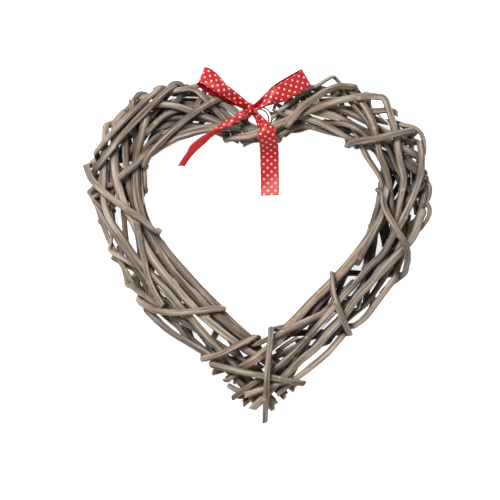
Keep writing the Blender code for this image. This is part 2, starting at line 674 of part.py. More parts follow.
# The rods in the order they are laid: name, diameter, the face each starts on,
# and its stops as side, station, lane. A rod turns over the edge at a TURN.
RODS = (
    # Along the back and deepest in the front
    ("back_left_limb_inner", 0.0060, BACK, (
        (L, -6, -0.5), (L, 10, -0.42), (L, 25, -0.42), (L, 42, -0.34), (L, 55, -0.5))),
    ("back_left_limb_outer", 0.0060, BACK, (
        (L, -5, 0.5), (L, 15, 0.5), (L, 30, 0.4), (L, 45, 0.6), (L, 60, 0.3))),
    ("back_left_lobe", 0.0060, BACK, (
        (L, 54, 0.6), (L, 66, 0.2), (L, 78, 0.4), (L, 90, 0.1), (R, 99, 0.3))),
    ("back_right_limb_inner", 0.0060, BACK, (
        (R, -6, -0.75), (R, 8, -0.46), (R, 24, -0.37), (R, 40, -0.55), (R, 54, -0.46))),
    ("back_right_limb_outer", 0.0060, BACK, (
        (R, -7, 0.3), (R, 16, 0.6), (R, 30, 0.3), (R, 46, 0.5), (R, 58, 0.2))),
    ("back_right_lobe", 0.0060, BACK, (
        (R, 52, 0.6), (R, 64, 0.0), (R, 77, 0.2), (R, 92, 0.3), (L, 98, 0.2))),
    ("left_limb_thin", 0.0044, FRONT, (
        (L, 38, -0.67), (L, 29, -0.51), (L, 20, -0.44), (L, 9, -0.1), (L, 2, 0.1))),
    ("right_flank_inner", 0.0056, FRONT, (
        (R, 57, -0.74), (R, 47, -0.75), (R, 38, -0.55), (R, 28, -0.46), (R, 20, -0.28))),
    ("right_limb_thin", 0.0044, FRONT, (
        (R, 27, 0.0), (R, 22, 0.04), (R, 15, -0.2), (R, 7, -0.42), (L, 4, -0.28))),
    # Left limb and lobe
    ("left_inner_edge", 0.0062, BACK, (
        (L, 74, -0.3), (L, 64, -1.02, TURN), (L, 55, -0.84), (L, 45, -0.8), (L, 34, -0.84),
        (L, 20, -0.71), (L, 12, -0.74), (L, 4, -0.64))),
    ("left_limb_crossing", 0.0052, FRONT, (
        (L, 54, -0.21), (L, 48, -0.05), (L, 40, 0.39), (L, 34, 0.83), (L, 31, 1.02, TURN), (L, 26, 0.4),
        (L, 19, -0.25))),
    ("left_outer_edge", 0.0050, BACK, (
        (L, 58, 0.6), (L, 52, 1.04, TURN), (L, 44, 0.76), (L, 36, 0.88), (L, 32, 0.99), (L, 25, 0.95),
        (L, 22, 0.97), (L, 16, 0.7), (L, 10, 0.72))),
    ("left_flank_diagonal", 0.0052, BACK, (
        (L, 60, 0.4), (L, 53.5, 1.02, TURN), (L, 46, 0.55), (L, 41, 0.32), (L, 35, 0.27), (L, 29, 0.54),
        (L, 20, 0.83), (L, 15, 1.04, TURN), (L, 9, 0.4), (L, 3, -0.2))),
    ("left_limb_slanting", 0.0052, BACK, (
        (L, 42, 0.5), (L, 35, 1.0, TURN), (L, 29, 0.88), (L, 22, 0.63), (L, 14, 0.38), (L, 7, 0.16),
        (R, 2, -0.04), (L, -7.5, 0.55))),
    ("left_lobe_inward", 0.0055, BACK, (
        (L, 88, 0.2), (L, 81, 1.0, TURN), (L, 77, 0.3), (L, 68, -0.6), (L, 59, -0.81),
        (L, 53, -0.86, TURN), (L, 46, -0.25), (L, 38, 0.2))),
    ("left_lobe_middle", 0.0050, FRONT, (
        (L, 70, -0.1), (L, 74.5, -0.15), (L, 80, -0.3), (L, 88, -0.4))),
    ("left_lobe_rising", 0.0045, FRONT, (
        (L, 57, -0.28), (L, 62.5, -0.15), (L, 69, -0.25), (L, 76.5, 0.35), (L, 80, 1.0, TURN),
        (L, 86, 0.2), (L, 92, -0.3))),
    ("left_flank_inward", 0.0060, BACK, (
        (L, 76, 0.2), (L, 69, 1.02, TURN), (L, 65.5, 0.1), (L, 59.8, -0.28), (L, 50.5, -0.5),
        (L, 39, -0.72), (L, 30, -0.67), (L, 20, -0.61), (L, 8, -0.69), (L, 2, -0.5))),
    ("left_limb_long", 0.0074, FRONT, (
        (L, 68, -0.35), (L, 60, -0.64), (L, 46.5, -0.59), (L, 31, -0.45), (L, 21, -0.36), (L, 13, -0.5),
        (L, 8, -0.62), (R, 4, -0.5), (L, -7, -0.25))),
    ("left_limb_thick", 0.0082, FRONT, (
        (L, 66, 0.6), (L, 62, 0.4), (L, 55.5, 0.0), (L, 51, -0.25), (L, 43, -0.42), (L, 38, -0.37),
        (L, 30, -0.2), (L, 21, -0.1), (L, 14, -0.25), (L, 9, -0.37), (R, 4, -0.2), (L, -7, -0.67))),
    ("left_limb_pale", 0.0064, BACK, (
        (L, 72, 0.3), (L, 66, 1.03, TURN), (L, 62.3, 0.6), (L, 57.5, 0.45), (L, 52, 0.6), (L, 46, 0.5),
        (L, 41, 0.2), (L, 36, 0.1), (L, 26, 0.08), (L, 20, 0.17), (L, 9, 0.42), (L, -7, 0.3))),
    ("left_limb_outermost", 0.0064, BACK, (
        (L, 36, 0.6), (L, 29, 1.25, TURN), (L, 23, 1.22), (L, 16, 0.97), (L, 9, 0.63), (L, 4, 0.5),
        (R, -4.5, 0.2), (R, -4.5, 0.62))),
    # Both sides of the cleft
    ("cleft_crossing_low", 0.0060, BACK, (
        (L, 90, 0.0), (L, 95, -1.05, TURN), (L, 97, -0.72), (L, 99.7, 0.04), (R, 95.9, -0.22),
        (R, 91.8, -0.19), (R, 87, 0.1))),
    ("right_cleft_outer", 0.0060, BACK, (
        (R, 84, 0.4), (R, 88.5, 1.02, TURN), (R, 90, 0.65), (R, 93.2, 0.13), (R, 97.9, -0.38),
        (L, 97, -0.75))),
    ("right_cleft_inner", 0.0060, BACK, (
        (R, 82, 0.6), (R, 86.5, 1.0, TURN), (R, 88.2, 0.51), (R, 90.1, 0.12), (R, 94.2, -0.3),
        (R, 96.4, -0.95, TURN), (L, 95, 0.0))),
    ("left_cleft_middle", 0.0056, FRONT, (
        (L, 70, -0.35), (L, 75, -0.07), (L, 84.5, 0.2), (L, 87.2, 0.33), (L, 91.3, 0.06),
        (L, 95.9, -0.11), (R, 98, -0.5))),
    ("left_cleft_inner", 0.0056, BACK, (
        (L, 66, 0.4), (L, 73, 1.0, TURN), (L, 77.5, 0.5), (L, 82.5, 0.75), (L, 86, 0.3),
        (L, 90.3, -0.15), (L, 95, -0.25))),
    ("left_cleft_outer", 0.0056, BACK, (
        (L, 78, 0.4), (L, 84, 1.0, TURN), (L, 87.9, 0.68), (L, 92, 0.46), (L, 95.7, 0.11),
        (R, 97, -0.4))),
    ("cleft_crossing_high", 0.0064, FRONT, (
        (L, 72, 0.5), (L, 76.5, 0.3), (L, 83.7, -0.25), (L, 92.4, -0.41), (L, 96.5, 0.03),
        (R, 95.9, -0.22), (R, 90, -0.15))),
    ("left_lobe_thickest", 0.0088, FRONT, (
        (L, 61, -0.85), (L, 65.5, -0.95), (L, 76.5, -1.03), (L, 84, -0.9), (L, 89.5, -0.6),
        (L, 93.5, -0.3))),
    # Right limb and lobe
    ("right_lobe_stub", 0.0060, FRONT, (
        (R, 78.1, -0.72), (R, 71.7, -0.53), (R, 66.2, -0.19), (R, 61, 0.35), (R, 58, 0.87, TURN),
        (R, 52, 0.4))),
    ("right_lobe_innermost", 0.0052, FRONT, (
        (R, 98, -0.5), (R, 93.6, -0.64), (R, 89.6, -0.6), (R, 82.3, -1.0), (R, 74, -1.15),
        (R, 70, -1.12, TURN), (R, 63, -0.5), (R, 55, 0.0))),
    ("right_lobe_inner", 0.0060, FRONT, (
        (R, 91, 0.0), (R, 87, -0.38), (R, 82.3, -0.77), (R, 76, -1.0), (R, 72.2, -1.1, TURN),
        (R, 66, -0.4), (R, 59, 0.3))),
    ("right_flank_edge", 0.0050, FRONT, (
        (R, 73, -0.85), (R, 67.5, -1.0), (R, 61, -0.92), (R, 55.5, -0.69), (R, 50, -0.46),
        (R, 45, -0.28))),
    ("right_lobe_broad", 0.0072, FRONT, (
        (R, 88, 0.0), (R, 83.8, -0.24), (R, 77.3, -0.49), (R, 72, -0.47), (R, 68.4, -0.35),
        (R, 63.2, 0.16), (R, 59.5, 0.91, TURN), (R, 54, 0.3), (R, 48, -0.28), (R, 43, -0.74))),
    ("right_lobe_middle", 0.0056, FRONT, (
        (R, 85, 0.15), (R, 79.5, -0.06), (R, 75.8, -0.14), (R, 71.9, -0.27), (R, 68.5, -0.28),
        (R, 64.9, 0.29), (R, 62.6, 0.87, TURN), (R, 57, 0.3), (R, 51, -0.28))),
    ("right_lobe_thin", 0.0042, BACK, (
        (R, 86, 0.5), (R, 80.5, 0.96, TURN), (R, 79.4, 0.77), (R, 77, 0.24), (R, 73.6, -0.09),
        (R, 66.2, -0.27), (R, 62.4, -0.28), (R, 59.3, -0.2), (R, 53.8, 0.27), (R, 49, 0.7))),
    ("right_lobe_sweep", 0.0062, BACK, (
        (R, 84, 0.2), (R, 78.5, 0.9, TURN), (R, 75.3, 0.42), (R, 72.4, 0.07), (R, 69.3, -0.21),
        (R, 66, -0.52), (R, 60.9, -0.64), (R, 54.4, -0.53), (R, 50.1, -0.34), (R, 43, 0.2))),
    ("right_limb_tan", 0.0090, FRONT, (
        (R, 47.5, -0.41), (R, 42.9, -0.61), (R, 36.7, -0.63), (R, 25.8, -0.63), (R, 19.3, -0.66),
        (R, 11.9, -0.57), (R, 7, -0.6), (L, 4, -0.37))),
    ("right_limb_across", 0.0062, FRONT, (
        (R, 26, 0.4), (R, 21.4, 0.1), (R, 16.5, -0.2), (R, 11.7, -0.48), (R, 7.6, -0.77),
        (L, 5.9, -0.72))),
    ("right_flank_outward", 0.0056, BACK, (
        (R, 60, 0.2), (R, 53.4, 0.9, TURN), (R, 49.4, 0.8), (R, 43.7, 0.53), (R, 37.6, 0.33),
        (R, 30, 0.1))),
    ("right_limb_bowed", 0.0056, FRONT, (
        (R, 45, 0.2), (R, 41.1, 0.49), (R, 34.2, 0.82), (R, 29, 0.95), (R, 23.5, 0.84),
        (R, 16.1, 1.02, TURN), (R, 11, 0.4), (R, 5, -0.1))),
    ("right_limb_bulge", 0.0060, BACK, (
        (R, 45, 0.6), (R, 37, 1.1, TURN), (R, 34.4, 0.9), (R, 30.9, 1.07), (R, 25.4, 1.26),
        (R, 21.5, 1.2, TURN), (R, 17, 0.6), (R, 11, 0.1))),
    ("right_limb_outermost", 0.0060, BACK, (
        (R, 27, 0.3), (R, 20.5, 1.2, TURN), (R, 15.9, 1.2), (R, 8.8, 0.98), (R, 0, 0.8))),
    ("right_lobe_long", 0.0068, BACK, (
        (L, 90, -0.1), (L, 94.4, -1.09, TURN), (L, 96.5, -0.36), (R, 99, 0.35), (R, 95.7, 0.28),
        (R, 92.8, -0.05), (R, 86, -0.05), (R, 81.9, 0.09), (R, 78.4, 0.36), (R, 73.2, 0.95),
        (R, 72, 0.97), (R, 69.5, 0.57), (R, 66.4, 0.23), (R, 62.6, 0.08), (R, 50.6, 0.0),
        (R, 44.6, 0.1), (R, 40, 0.25), (R, 33, 0.4))),
    ("right_limb_long", 0.0064, BACK, (
        (R, 68, 0.4), (R, 62.5, 0.91, TURN), (R, 59.6, 0.77), (R, 56.5, 0.62), (R, 50.6, 0.32),
        (R, 43.2, 0.15), (R, 36.4, 0.0), (R, 24, 0.06), (R, 17.2, 0.23), (R, 9.7, 0.2), (R, 3, 0.1),
        (R, -7.5, -0.15))),
    ("right_limb_outer_long", 0.0076, BACK, (
        (R, 57, 0.5), (R, 50.4, 0.97, TURN), (R, 47.2, 0.85), (R, 44.4, 0.8), (R, 42.3, 0.52),
        (R, 36.4, 0.39), (R, 30.8, 0.41), (R, 24.4, 0.57), (R, 15, 0.66), (R, 0, 0.65),
        (R, -6.3, 0.65))),
    ("right_cleft_peak", 0.0042, FRONT, (
        (R, 93, 0.5), (R, 86.9, 0.64), (R, 84.3, 0.78), (R, 81.2, 1.06, TURN), (R, 76, 0.4),
        (R, 70, -0.3))),
    ("right_cleft_shoulder", 0.0062, FRONT, (
        (R, 92, -0.2), (R, 88.8, 0.12), (R, 85, 0.34), (R, 79.2, 0.91), (R, 77.6, 0.98, TURN),
        (R, 72, 0.3), (R, 66, -0.4))),
    # Last rods, over all the others
    ("left_lobe_chord", 0.0062, BACK, (
        (L, 53, 0.1), (L, 60.5, 1.02, TURN), (L, 68, 0.52), (L, 77, 0.92, TURN), (L, 82, 0.4),
        (L, 89, -0.2))),
    ("left_lobe_long_chord", 0.0062, BACK, (
        (L, 49, 0.3), (L, 57.5, 1.02, TURN), (L, 68, 0.28), (L, 80, 0.95, TURN), (L, 86, 0.5),
        (L, 92, 0.0))),
    ("left_lobe_top", 0.0066, BACK, (
        (L, 53, -0.34), (L, 62, -1.0, TURN), (L, 67.5, -0.82), (L, 78, -0.62), (L, 83.5, -0.1),
        (L, 88.5, 0.6))),
    ("tip_slanting", 0.0052, FRONT, (
        (R, -5.1, 0.03), (L, -2.1, 0.15), (L, -4.3, -0.41), (L, -6, -0.8))),
    ("tip_crossing", 0.0064, FRONT, (
        (L, 10, 0.8), (L, 3.3, 0.26), (R, 1, 0.1), (L, -3, -0.4), (L, -8, -0.96))),
    ("tip_upright", 0.0060, BACK, (
        (R, 15, -0.2), (R, 9.5, -0.9, TURN), (R, 3.8, -0.17), (L, -3.2, 0.08), (L, -8.1, 1.03))),
    ("left_binding", 0.0064, BACK, (
        (L, 65, 0.3), (L, 58, 1.15, TURN), (L, 56, 1.0), (L, 50.5, 0.0), (L, 44.3, -0.74),
        (L, 40.5, -0.78, TURN), (L, 36, 0.0), (L, 31, 1.06, TURN), (L, 29, 1.1), (L, 25, 0.85),
        (L, 21, 0.12), (L, 17.5, -0.66), (L, 16, -0.78, TURN), (L, 13.5, 0.0), (L, 12, 1.12, TURN),
        (L, 9, 0.62), (L, 8, -0.37), (L, 5.5, -0.9, TURN), (L, 4, -0.28), (L, 2, 0.3))),
    ("right_binding", 0.0062, BACK, (
        (R, 80, -0.3), (R, 74, -1.08, TURN), (R, 68, -0.54), (R, 66.4, 0.07), (R, 64.9, 0.95, TURN),
        (R, 59, 0.0), (R, 53.5, -0.8, TURN), (R, 49.3, -0.59), (R, 45.2, 0.0), (R, 43, 0.59),
        (R, 40.6, 1.03), (R, 38, 1.24, TURN), (R, 32, 0.1), (R, 27.5, -0.84, TURN), (R, 23.5, -0.1),
        (R, 22.2, 0.62), (R, 20.8, 1.26, TURN), (R, 17, 0.4), (R, 12, -0.28))),
)


def rest_on_floor(items):
    """Hangs every piece on one empty, placed so that the bounding box stands on the origin."""
    graph = bpy.context.evaluated_depsgraph_get()
    corners = []
    for item in items:
        surface = item.evaluated_get(graph)
        corners += [vertex.co.copy() for vertex in surface.to_mesh().vertices]
        surface.to_mesh_clear()
    corners = np.array(corners)
    low = corners.min(axis=0)
    high = corners.max(axis=0)
    wreath = bpy.data.objects.new("wreath", None)
    wreath.location = (-(low[0] + high[0]) / 2, -(low[1] + high[1]) / 2, -low[2])
    bpy.context.collection.objects.link(wreath)
    for item in items:
        item.parent = wreath


def clear_scene():
    for item in list(bpy.data.objects):
        bpy.data.objects.remove(item, do_unlink=True)


def radii_of(closed_line, radius):
    """The same radius for each corner of a closed line but its repeated last."""
    return [radius] * (len(closed_line) - 1)


def laid_rods(wire, ring):
    """All the rods laid one on another, pressed together and parted again."""
    laid = Laid()
    laid.add(respaced(wire, STEP), FRAME_WIRE_RADIUS)
    laid.add(respaced(ring, STEP), RING_WIRE_RADIUS)
    lines = [respaced(wire, PRESS_STEP), ring]
    aims = list(lines)
    radii = [np.full(len(lines[0]), FRAME_WIRE_RADIUS), np.full(len(ring), RING_WIRE_RADIUS)]
    for name, diameter, face, stops in RODS:
        line, aim, thickness = lay_rod(stops, face, diameter, laid)
        count = int(len(line) * STEP / PRESS_STEP) + 2
        every = np.linspace(0, len(line) - 1, count).round().astype(int)
        lines.append(line[every])
        aims.append(aim[every])
        radii.append(thickness[every])
    bundle = Bundle(lines, aims, radii, (0, 1))
    press(bundle)
    for number in range(2, len(lines)):
        mine = bundle.owner == number
        line = respaced(np.column_stack((bundle.points[mine], bundle.radii[mine])), STEP)
        line = eased(line, STEP, BEND_EASE / 2)
        line = line[simplified(line[:, :3], CHORD_ERROR, LONGEST_CHORD)]
        lines[number] = line[:, :3]
        radii[number] = line[:, 3]
    lines[0] = wire
    radii[0] = np.full(len(wire), FRAME_WIRE_RADIUS)
    bundle = Bundle(lines, lines, radii, (0, 1))
    overlap = settle(bundle)
    print("rods within their gap of each other by at most", round(overlap * 1000, 2), "mm")
    return bundle


def main():
    clear_scene()
    wire = frame_wire_line()
    ring = ring_line()
    bundle = laid_rods(wire, ring)
    obstacles = Laid()
    obstacles.add(respaced(ring, STEP), RING_WIRE_RADIUS)
    made = []
    for number, (name, *_) in enumerate(RODS, 2):
        mine = bundle.owner == number
        line = bundle.points[mine]
        thickness = bundle.radii[mine]
        tone = 1 + TONE_SPREAD * math.sin(2.4 * number)
        bark = finish(name + "_bark", [tone * value for value in WILLOW_COLOUR], 0.75)
        made.append(add_tube("rod_" + name, line, thickness, bark))
        obstacles.add(respaced(line, STEP), thickness.max())
    steel = finish("frame_wire_steel", (0.35, 0.34, 0.33), 0.45, 0.9)
    made.append(add_tube("frame_wire", wire[:-1], radii_of(wire, FRAME_WIRE_RADIUS), steel, True))
    dark = finish("hanging_ring_steel", (0.12, 0.10, 0.09), 0.5, 0.9)
    made.append(add_tube("hanging_ring", ring[:-1], radii_of(ring, RING_WIRE_RADIUS), dark, True))
    made.append(ribbon_bow(obstacles, finish("ribbon_satin", (0.60, 0.03, 0.05), 0.4)))
    rest_on_floor(made)


main()
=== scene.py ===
import math
import random
import bmesh
import bpy
import numpy as np
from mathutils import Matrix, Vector
from mathutils.bvhtree import BVHTree


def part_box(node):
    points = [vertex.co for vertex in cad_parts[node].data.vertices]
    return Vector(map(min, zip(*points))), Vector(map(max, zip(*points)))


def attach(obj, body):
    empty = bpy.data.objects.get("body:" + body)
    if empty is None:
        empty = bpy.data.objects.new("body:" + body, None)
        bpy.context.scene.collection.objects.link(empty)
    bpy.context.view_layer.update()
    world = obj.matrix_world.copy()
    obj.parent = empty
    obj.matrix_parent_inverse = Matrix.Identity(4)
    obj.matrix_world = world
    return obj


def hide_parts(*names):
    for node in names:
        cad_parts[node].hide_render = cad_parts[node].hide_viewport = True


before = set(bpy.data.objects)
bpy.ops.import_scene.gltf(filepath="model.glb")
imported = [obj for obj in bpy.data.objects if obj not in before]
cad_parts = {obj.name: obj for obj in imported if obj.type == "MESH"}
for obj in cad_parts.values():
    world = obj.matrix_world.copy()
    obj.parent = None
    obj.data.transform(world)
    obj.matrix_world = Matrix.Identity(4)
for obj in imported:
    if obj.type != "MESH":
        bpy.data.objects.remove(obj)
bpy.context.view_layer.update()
ringLow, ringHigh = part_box("hanging_ring")
ringCentre = np.array((ringLow + ringHigh) / 2)
# corners closer than this are one, in metres: of new meshes, and of the frame's own
weldWithin = 1e-6
frameWeldWithin = 2e-6


# Lines and frames that the rods, wires and ribbon all use

def unit(vectors):
    return vectors / np.maximum(np.linalg.norm(vectors, axis=-1, keepdims=True), 1e-12)


def smoothLine(points, step):
    # a soft curve through the points, with its places evenly apart
    points = np.asarray(points, float)
    gaps = np.linalg.norm(np.diff(points[:, :3], axis=0), axis=1)
    runs = runsAlong(points[:, :3])
    slopes = np.empty_like(points)
    chords = np.diff(points, axis=0) / gaps[:, None]
    slopes[0], slopes[-1] = chords[0], chords[-1]
    before, after = gaps[:-1, None], gaps[1:, None]
    slopes[1:-1] = (chords[:-1] * after + chords[1:] * before) / (before + after)
    places = np.linspace(0.0, runs[-1], max(4, int(round(runs[-1] / step)) + 1))
    index = np.clip(np.searchsorted(runs, places, side="right") - 1, 0, len(gaps) - 1)
    span = gaps[index][:, None]
    share = ((places - runs[index]) / gaps[index])[:, None]
    start, end = points[index], points[index + 1]
    into, out = slopes[index] * span, slopes[index + 1] * span
    return ((2 * share ** 3 - 3 * share ** 2 + 1) * start + (share ** 3 - 2 * share ** 2 + share) * into
            + (3 * share ** 2 - 2 * share ** 3) * end + (share ** 3 - share ** 2) * out)


def carriedFrames(line, levelling=0.0):
    # directions along the line, and two across it that don't twist, or that turn slowly level
    along = unit(np.gradient(line, axis=0))
    side = np.cross(along[0], (0.0, 0.0, 1.0))
    if np.linalg.norm(side) < 0.1:
        side = np.cross(along[0], (0.0, 1.0, 0.0))
    sides = [side / np.linalg.norm(side)]
    for direction in along[1:]:
        side = sides[-1] - direction * np.dot(sides[-1], direction)
        side = side / np.linalg.norm(side)
        level = np.cross(direction, (0.0, 0.0, 1.0))
        if np.dot(level, side) < 0:
            level = -level
        side = side + level * levelling
        sides.append(side / np.linalg.norm(side))
    sides = np.array(sides)
    return along, sides, np.cross(along, sides)


def runsAlong(line):
    # how far along the line each of its places is
    return np.concatenate(([0.0], np.cumsum(np.linalg.norm(np.diff(line, axis=0), axis=1))))


def asObject(name, shell, materials, smooth=True):
    mesh = bpy.data.meshes.new(name)
    for face in shell.faces:
        face.smooth = smooth
    shell.to_mesh(mesh)
    shell.free()
    item = bpy.data.objects.new(name, mesh)
    bpy.context.scene.collection.objects.link(item)
    for material in materials:
        mesh.materials.append(material)
    return item


# Small helpers for the materials

def newMaterial(name):
    material = bpy.data.materials.new(name)
    material.use_nodes = True
    tree = material.node_tree
    return material, tree, tree.nodes["Principled BSDF"]


def addNode(tree, kind, values=None, **settings):
    node = tree.nodes.new(kind)
    for key, value in settings.items():
        setattr(node, key, value)
    for key, value in (values or {}).items():
        node.inputs[key].default_value = value
    return node


def feed(tree, socket, value):
    if isinstance(value, bpy.types.NodeSocket):
        tree.links.new(value, socket)
    else:
        socket.default_value = value


def worked(tree, operation, first, second=None):
    # one step of arithmetic on a value of the material
    node = addNode(tree, "ShaderNodeMath", operation=operation)
    feed(tree, node.inputs[0], first)
    if second is not None:
        feed(tree, node.inputs[1], second)
    return node.outputs[0]


def mixColours(tree, share, first, second):
    node = addNode(tree, "ShaderNodeMix", data_type="RGBA")
    for index, value in ((0, share), (6, first), (7, second)):
        feed(tree, node.inputs[index], value)
    return node.outputs[2]


def remap(tree, value, low, high, toLow, toHigh):
    node = addNode(tree, "ShaderNodeMapRange", {1: low, 2: high, 3: toLow, 4: toHigh})
    tree.links.new(value, node.inputs[0])
    return node.outputs[0]


def addBump(tree, shader, height, strength, distance):
    bump = addNode(tree, "ShaderNodeBump", {"Strength": strength, "Distance": distance})
    tree.links.new(height, bump.inputs["Height"])
    tree.links.new(bump.outputs[0], shader.inputs["Normal"])


def noiseOn(tree, vector, stretch, scale, detail, roughness=0.55, distortion=0.0):
    mapping = addNode(tree, "ShaderNodeMapping", {"Scale": stretch})
    tree.links.new(vector, mapping.inputs["Vector"])
    noise = addNode(tree, "ShaderNodeTexNoise", {"Scale": scale, "Detail": detail,
                    "Roughness": roughness, "Distortion": distortion})
    tree.links.new(mapping.outputs[0], noise.inputs["Vector"])
    return noise.outputs["Fac"]


# Greyed willow: streaks run along each rod, which is straightened out in its bark attribute
willow = {
    # scale, stretch, detail, roughness and distortion of each noise
    "noises": {
        "streaks": (1000.0, (1.0, 1.0, 0.035), 5.0, 0.62, 0.4),
        "fine": (2400.0, (1.0, 1.0, 0.02), 3.0, 0.55, 0.0),
        "patches": (60.0, (1.8, 1.8, 0.4), 4.0, 0.6, 0.6),
        "bands": (560.0, (1.0, 1.0, 0.05), 2.0, 0.5, 0.3),
    },
    # each colour covers the last one by a share that goes with a noise, from its low to its high end
    "layers": (
        ("patches", (0.34, 0.50), (0.55, 0.0), "warmBark"),
        ("patches", (0.50, 0.66), (0.0, 0.5), "greyWash"),
        ("bands", (0.36, 0.50), (0.72, 0.0), "darkBark"),
        # pale bands along the rods: partly the bark's own pale streaks, partly painted highlight stripes
        ("bands", (0.52, 0.66), (0.0, 0.75), "paleFibreAndHighlight"),
        ("streaks", (0.38, 0.54), (0.62, 0.0), "darkBark"),
        ("fine", (0.50, 0.72), (0.0, 0.40), "paleFibreAndHighlight"),
    ),
    "greyWash": (0.178, 0.151, 0.128, 1.0),
    "warmBark": (0.165, 0.105, 0.062, 1.0),
    "darkBark": (0.032, 0.018, 0.011, 1.0),
    # pale fibre specks, and the painted highlight stripes of the bands
    "paleFibreAndHighlight": (0.325, 0.272, 0.224, 1.0),
    # painted shade: the colour of bark deep in the weave, mixed in where few rays leave it
    "paintedShadeBark": (0.032, 0.020, 0.014, 1.0),
    "scarPale": (0.36, 0.29, 0.20, 1.0),
    "scarShare": 0.8,
    "paintedShadeSpan": (0.15, 0.72, 0.85, 0.0),
    "roughening": (0.3, 0.7, 0.55, 0.85),
    "specular": 0.30,
    "relief": {"streaks": 0.7, "fine": 0.3},
    "bump": (0.7, 0.0006),
}


def attribute(tree, name, output):
    return addNode(tree, "ShaderNodeAttribute", attribute_name=name).outputs[output]


def willowMaterial():
    material, tree, shader = newMaterial("greyed_willow")
    bark = attribute(tree, "bark", "Vector")
    noises = {name: noiseOn(tree, bark, stretch, scale, *grain)
              for name, (scale, stretch, *grain) in willow["noises"].items()}
    colour = attribute(tree, "tint", "Color")
    for noise, between, shares, layer in willow["layers"]:
        colour = mixColours(tree, remap(tree, noises[noise], *between, *shares), colour, willow[layer])
    scar = worked(tree, "MULTIPLY", attribute(tree, "scar", "Fac"), willow["scarShare"])
    colour = mixColours(tree, scar, colour, willow["scarPale"])
    # painted shade: the colour darkens where the openness is low, deep in the weave
    deep = remap(tree, attribute(tree, "openness", "Fac"), *willow["paintedShadeSpan"])
    tree.links.new(mixColours(tree, deep, colour, willow["paintedShadeBark"]), shader.inputs["Base Color"])
    tree.links.new(remap(tree, noises["streaks"], *willow["roughening"]), shader.inputs["Roughness"])
    shader.inputs["Specular IOR Level"].default_value = willow["specular"]
    heights = [worked(tree, "MULTIPLY", noises[noise], share) for noise, share in willow["relief"].items()]
    addBump(tree, shader, worked(tree, "ADD", *heights), *willow["bump"])
    return material


# Cut ends: each remapping goes from its first two values to its last two
cutWood = {
    "fibres": (2400.0, 3.0, 0.7),
    "contrast": (0.35, 0.65, 0.0, 1.0),
    "darkFibre": (0.19, 0.145, 0.10, 1.0),
    "lightFibre": (0.33, 0.27, 0.20, 1.0),
    "pith": (0.22, 0.14, 0.08, 1.0),
    "pithFrom": (0.68, 0.86, 0.0, 0.75),
    "rimUntil": (0.10, 0.26, 0.85, 0.0),
    "roughness": 0.85,
    "bump": (0.5, 0.0002),
}


def cutEndMaterial():
    # paler wood inside, a darker pith in the middle, and the bark's own tint round the rim
    material, tree, shader = newMaterial("cut_willow_end")
    core = attribute(tree, "core", "Fac")
    fibres = noiseOn(tree, attribute(tree, "bark", "Vector"), (1.0, 1.0, 1.0), *cutWood["fibres"])
    wood = mixColours(tree, remap(tree, fibres, *cutWood["contrast"]),
                      cutWood["darkFibre"], cutWood["lightFibre"])
    pith = mixColours(tree, remap(tree, core, *cutWood["pithFrom"]), wood, cutWood["pith"])
    rim = remap(tree, core, *cutWood["rimUntil"])
    tree.links.new(mixColours(tree, rim, pith, attribute(tree, "tint", "Color")), shader.inputs["Base Color"])
    shader.inputs["Roughness"].default_value = cutWood["roughness"]
    addBump(tree, shader, fibres, *cutWood["bump"])
    return material


greyedWillow = willowMaterial()
cutEnd = cutEndMaterial()

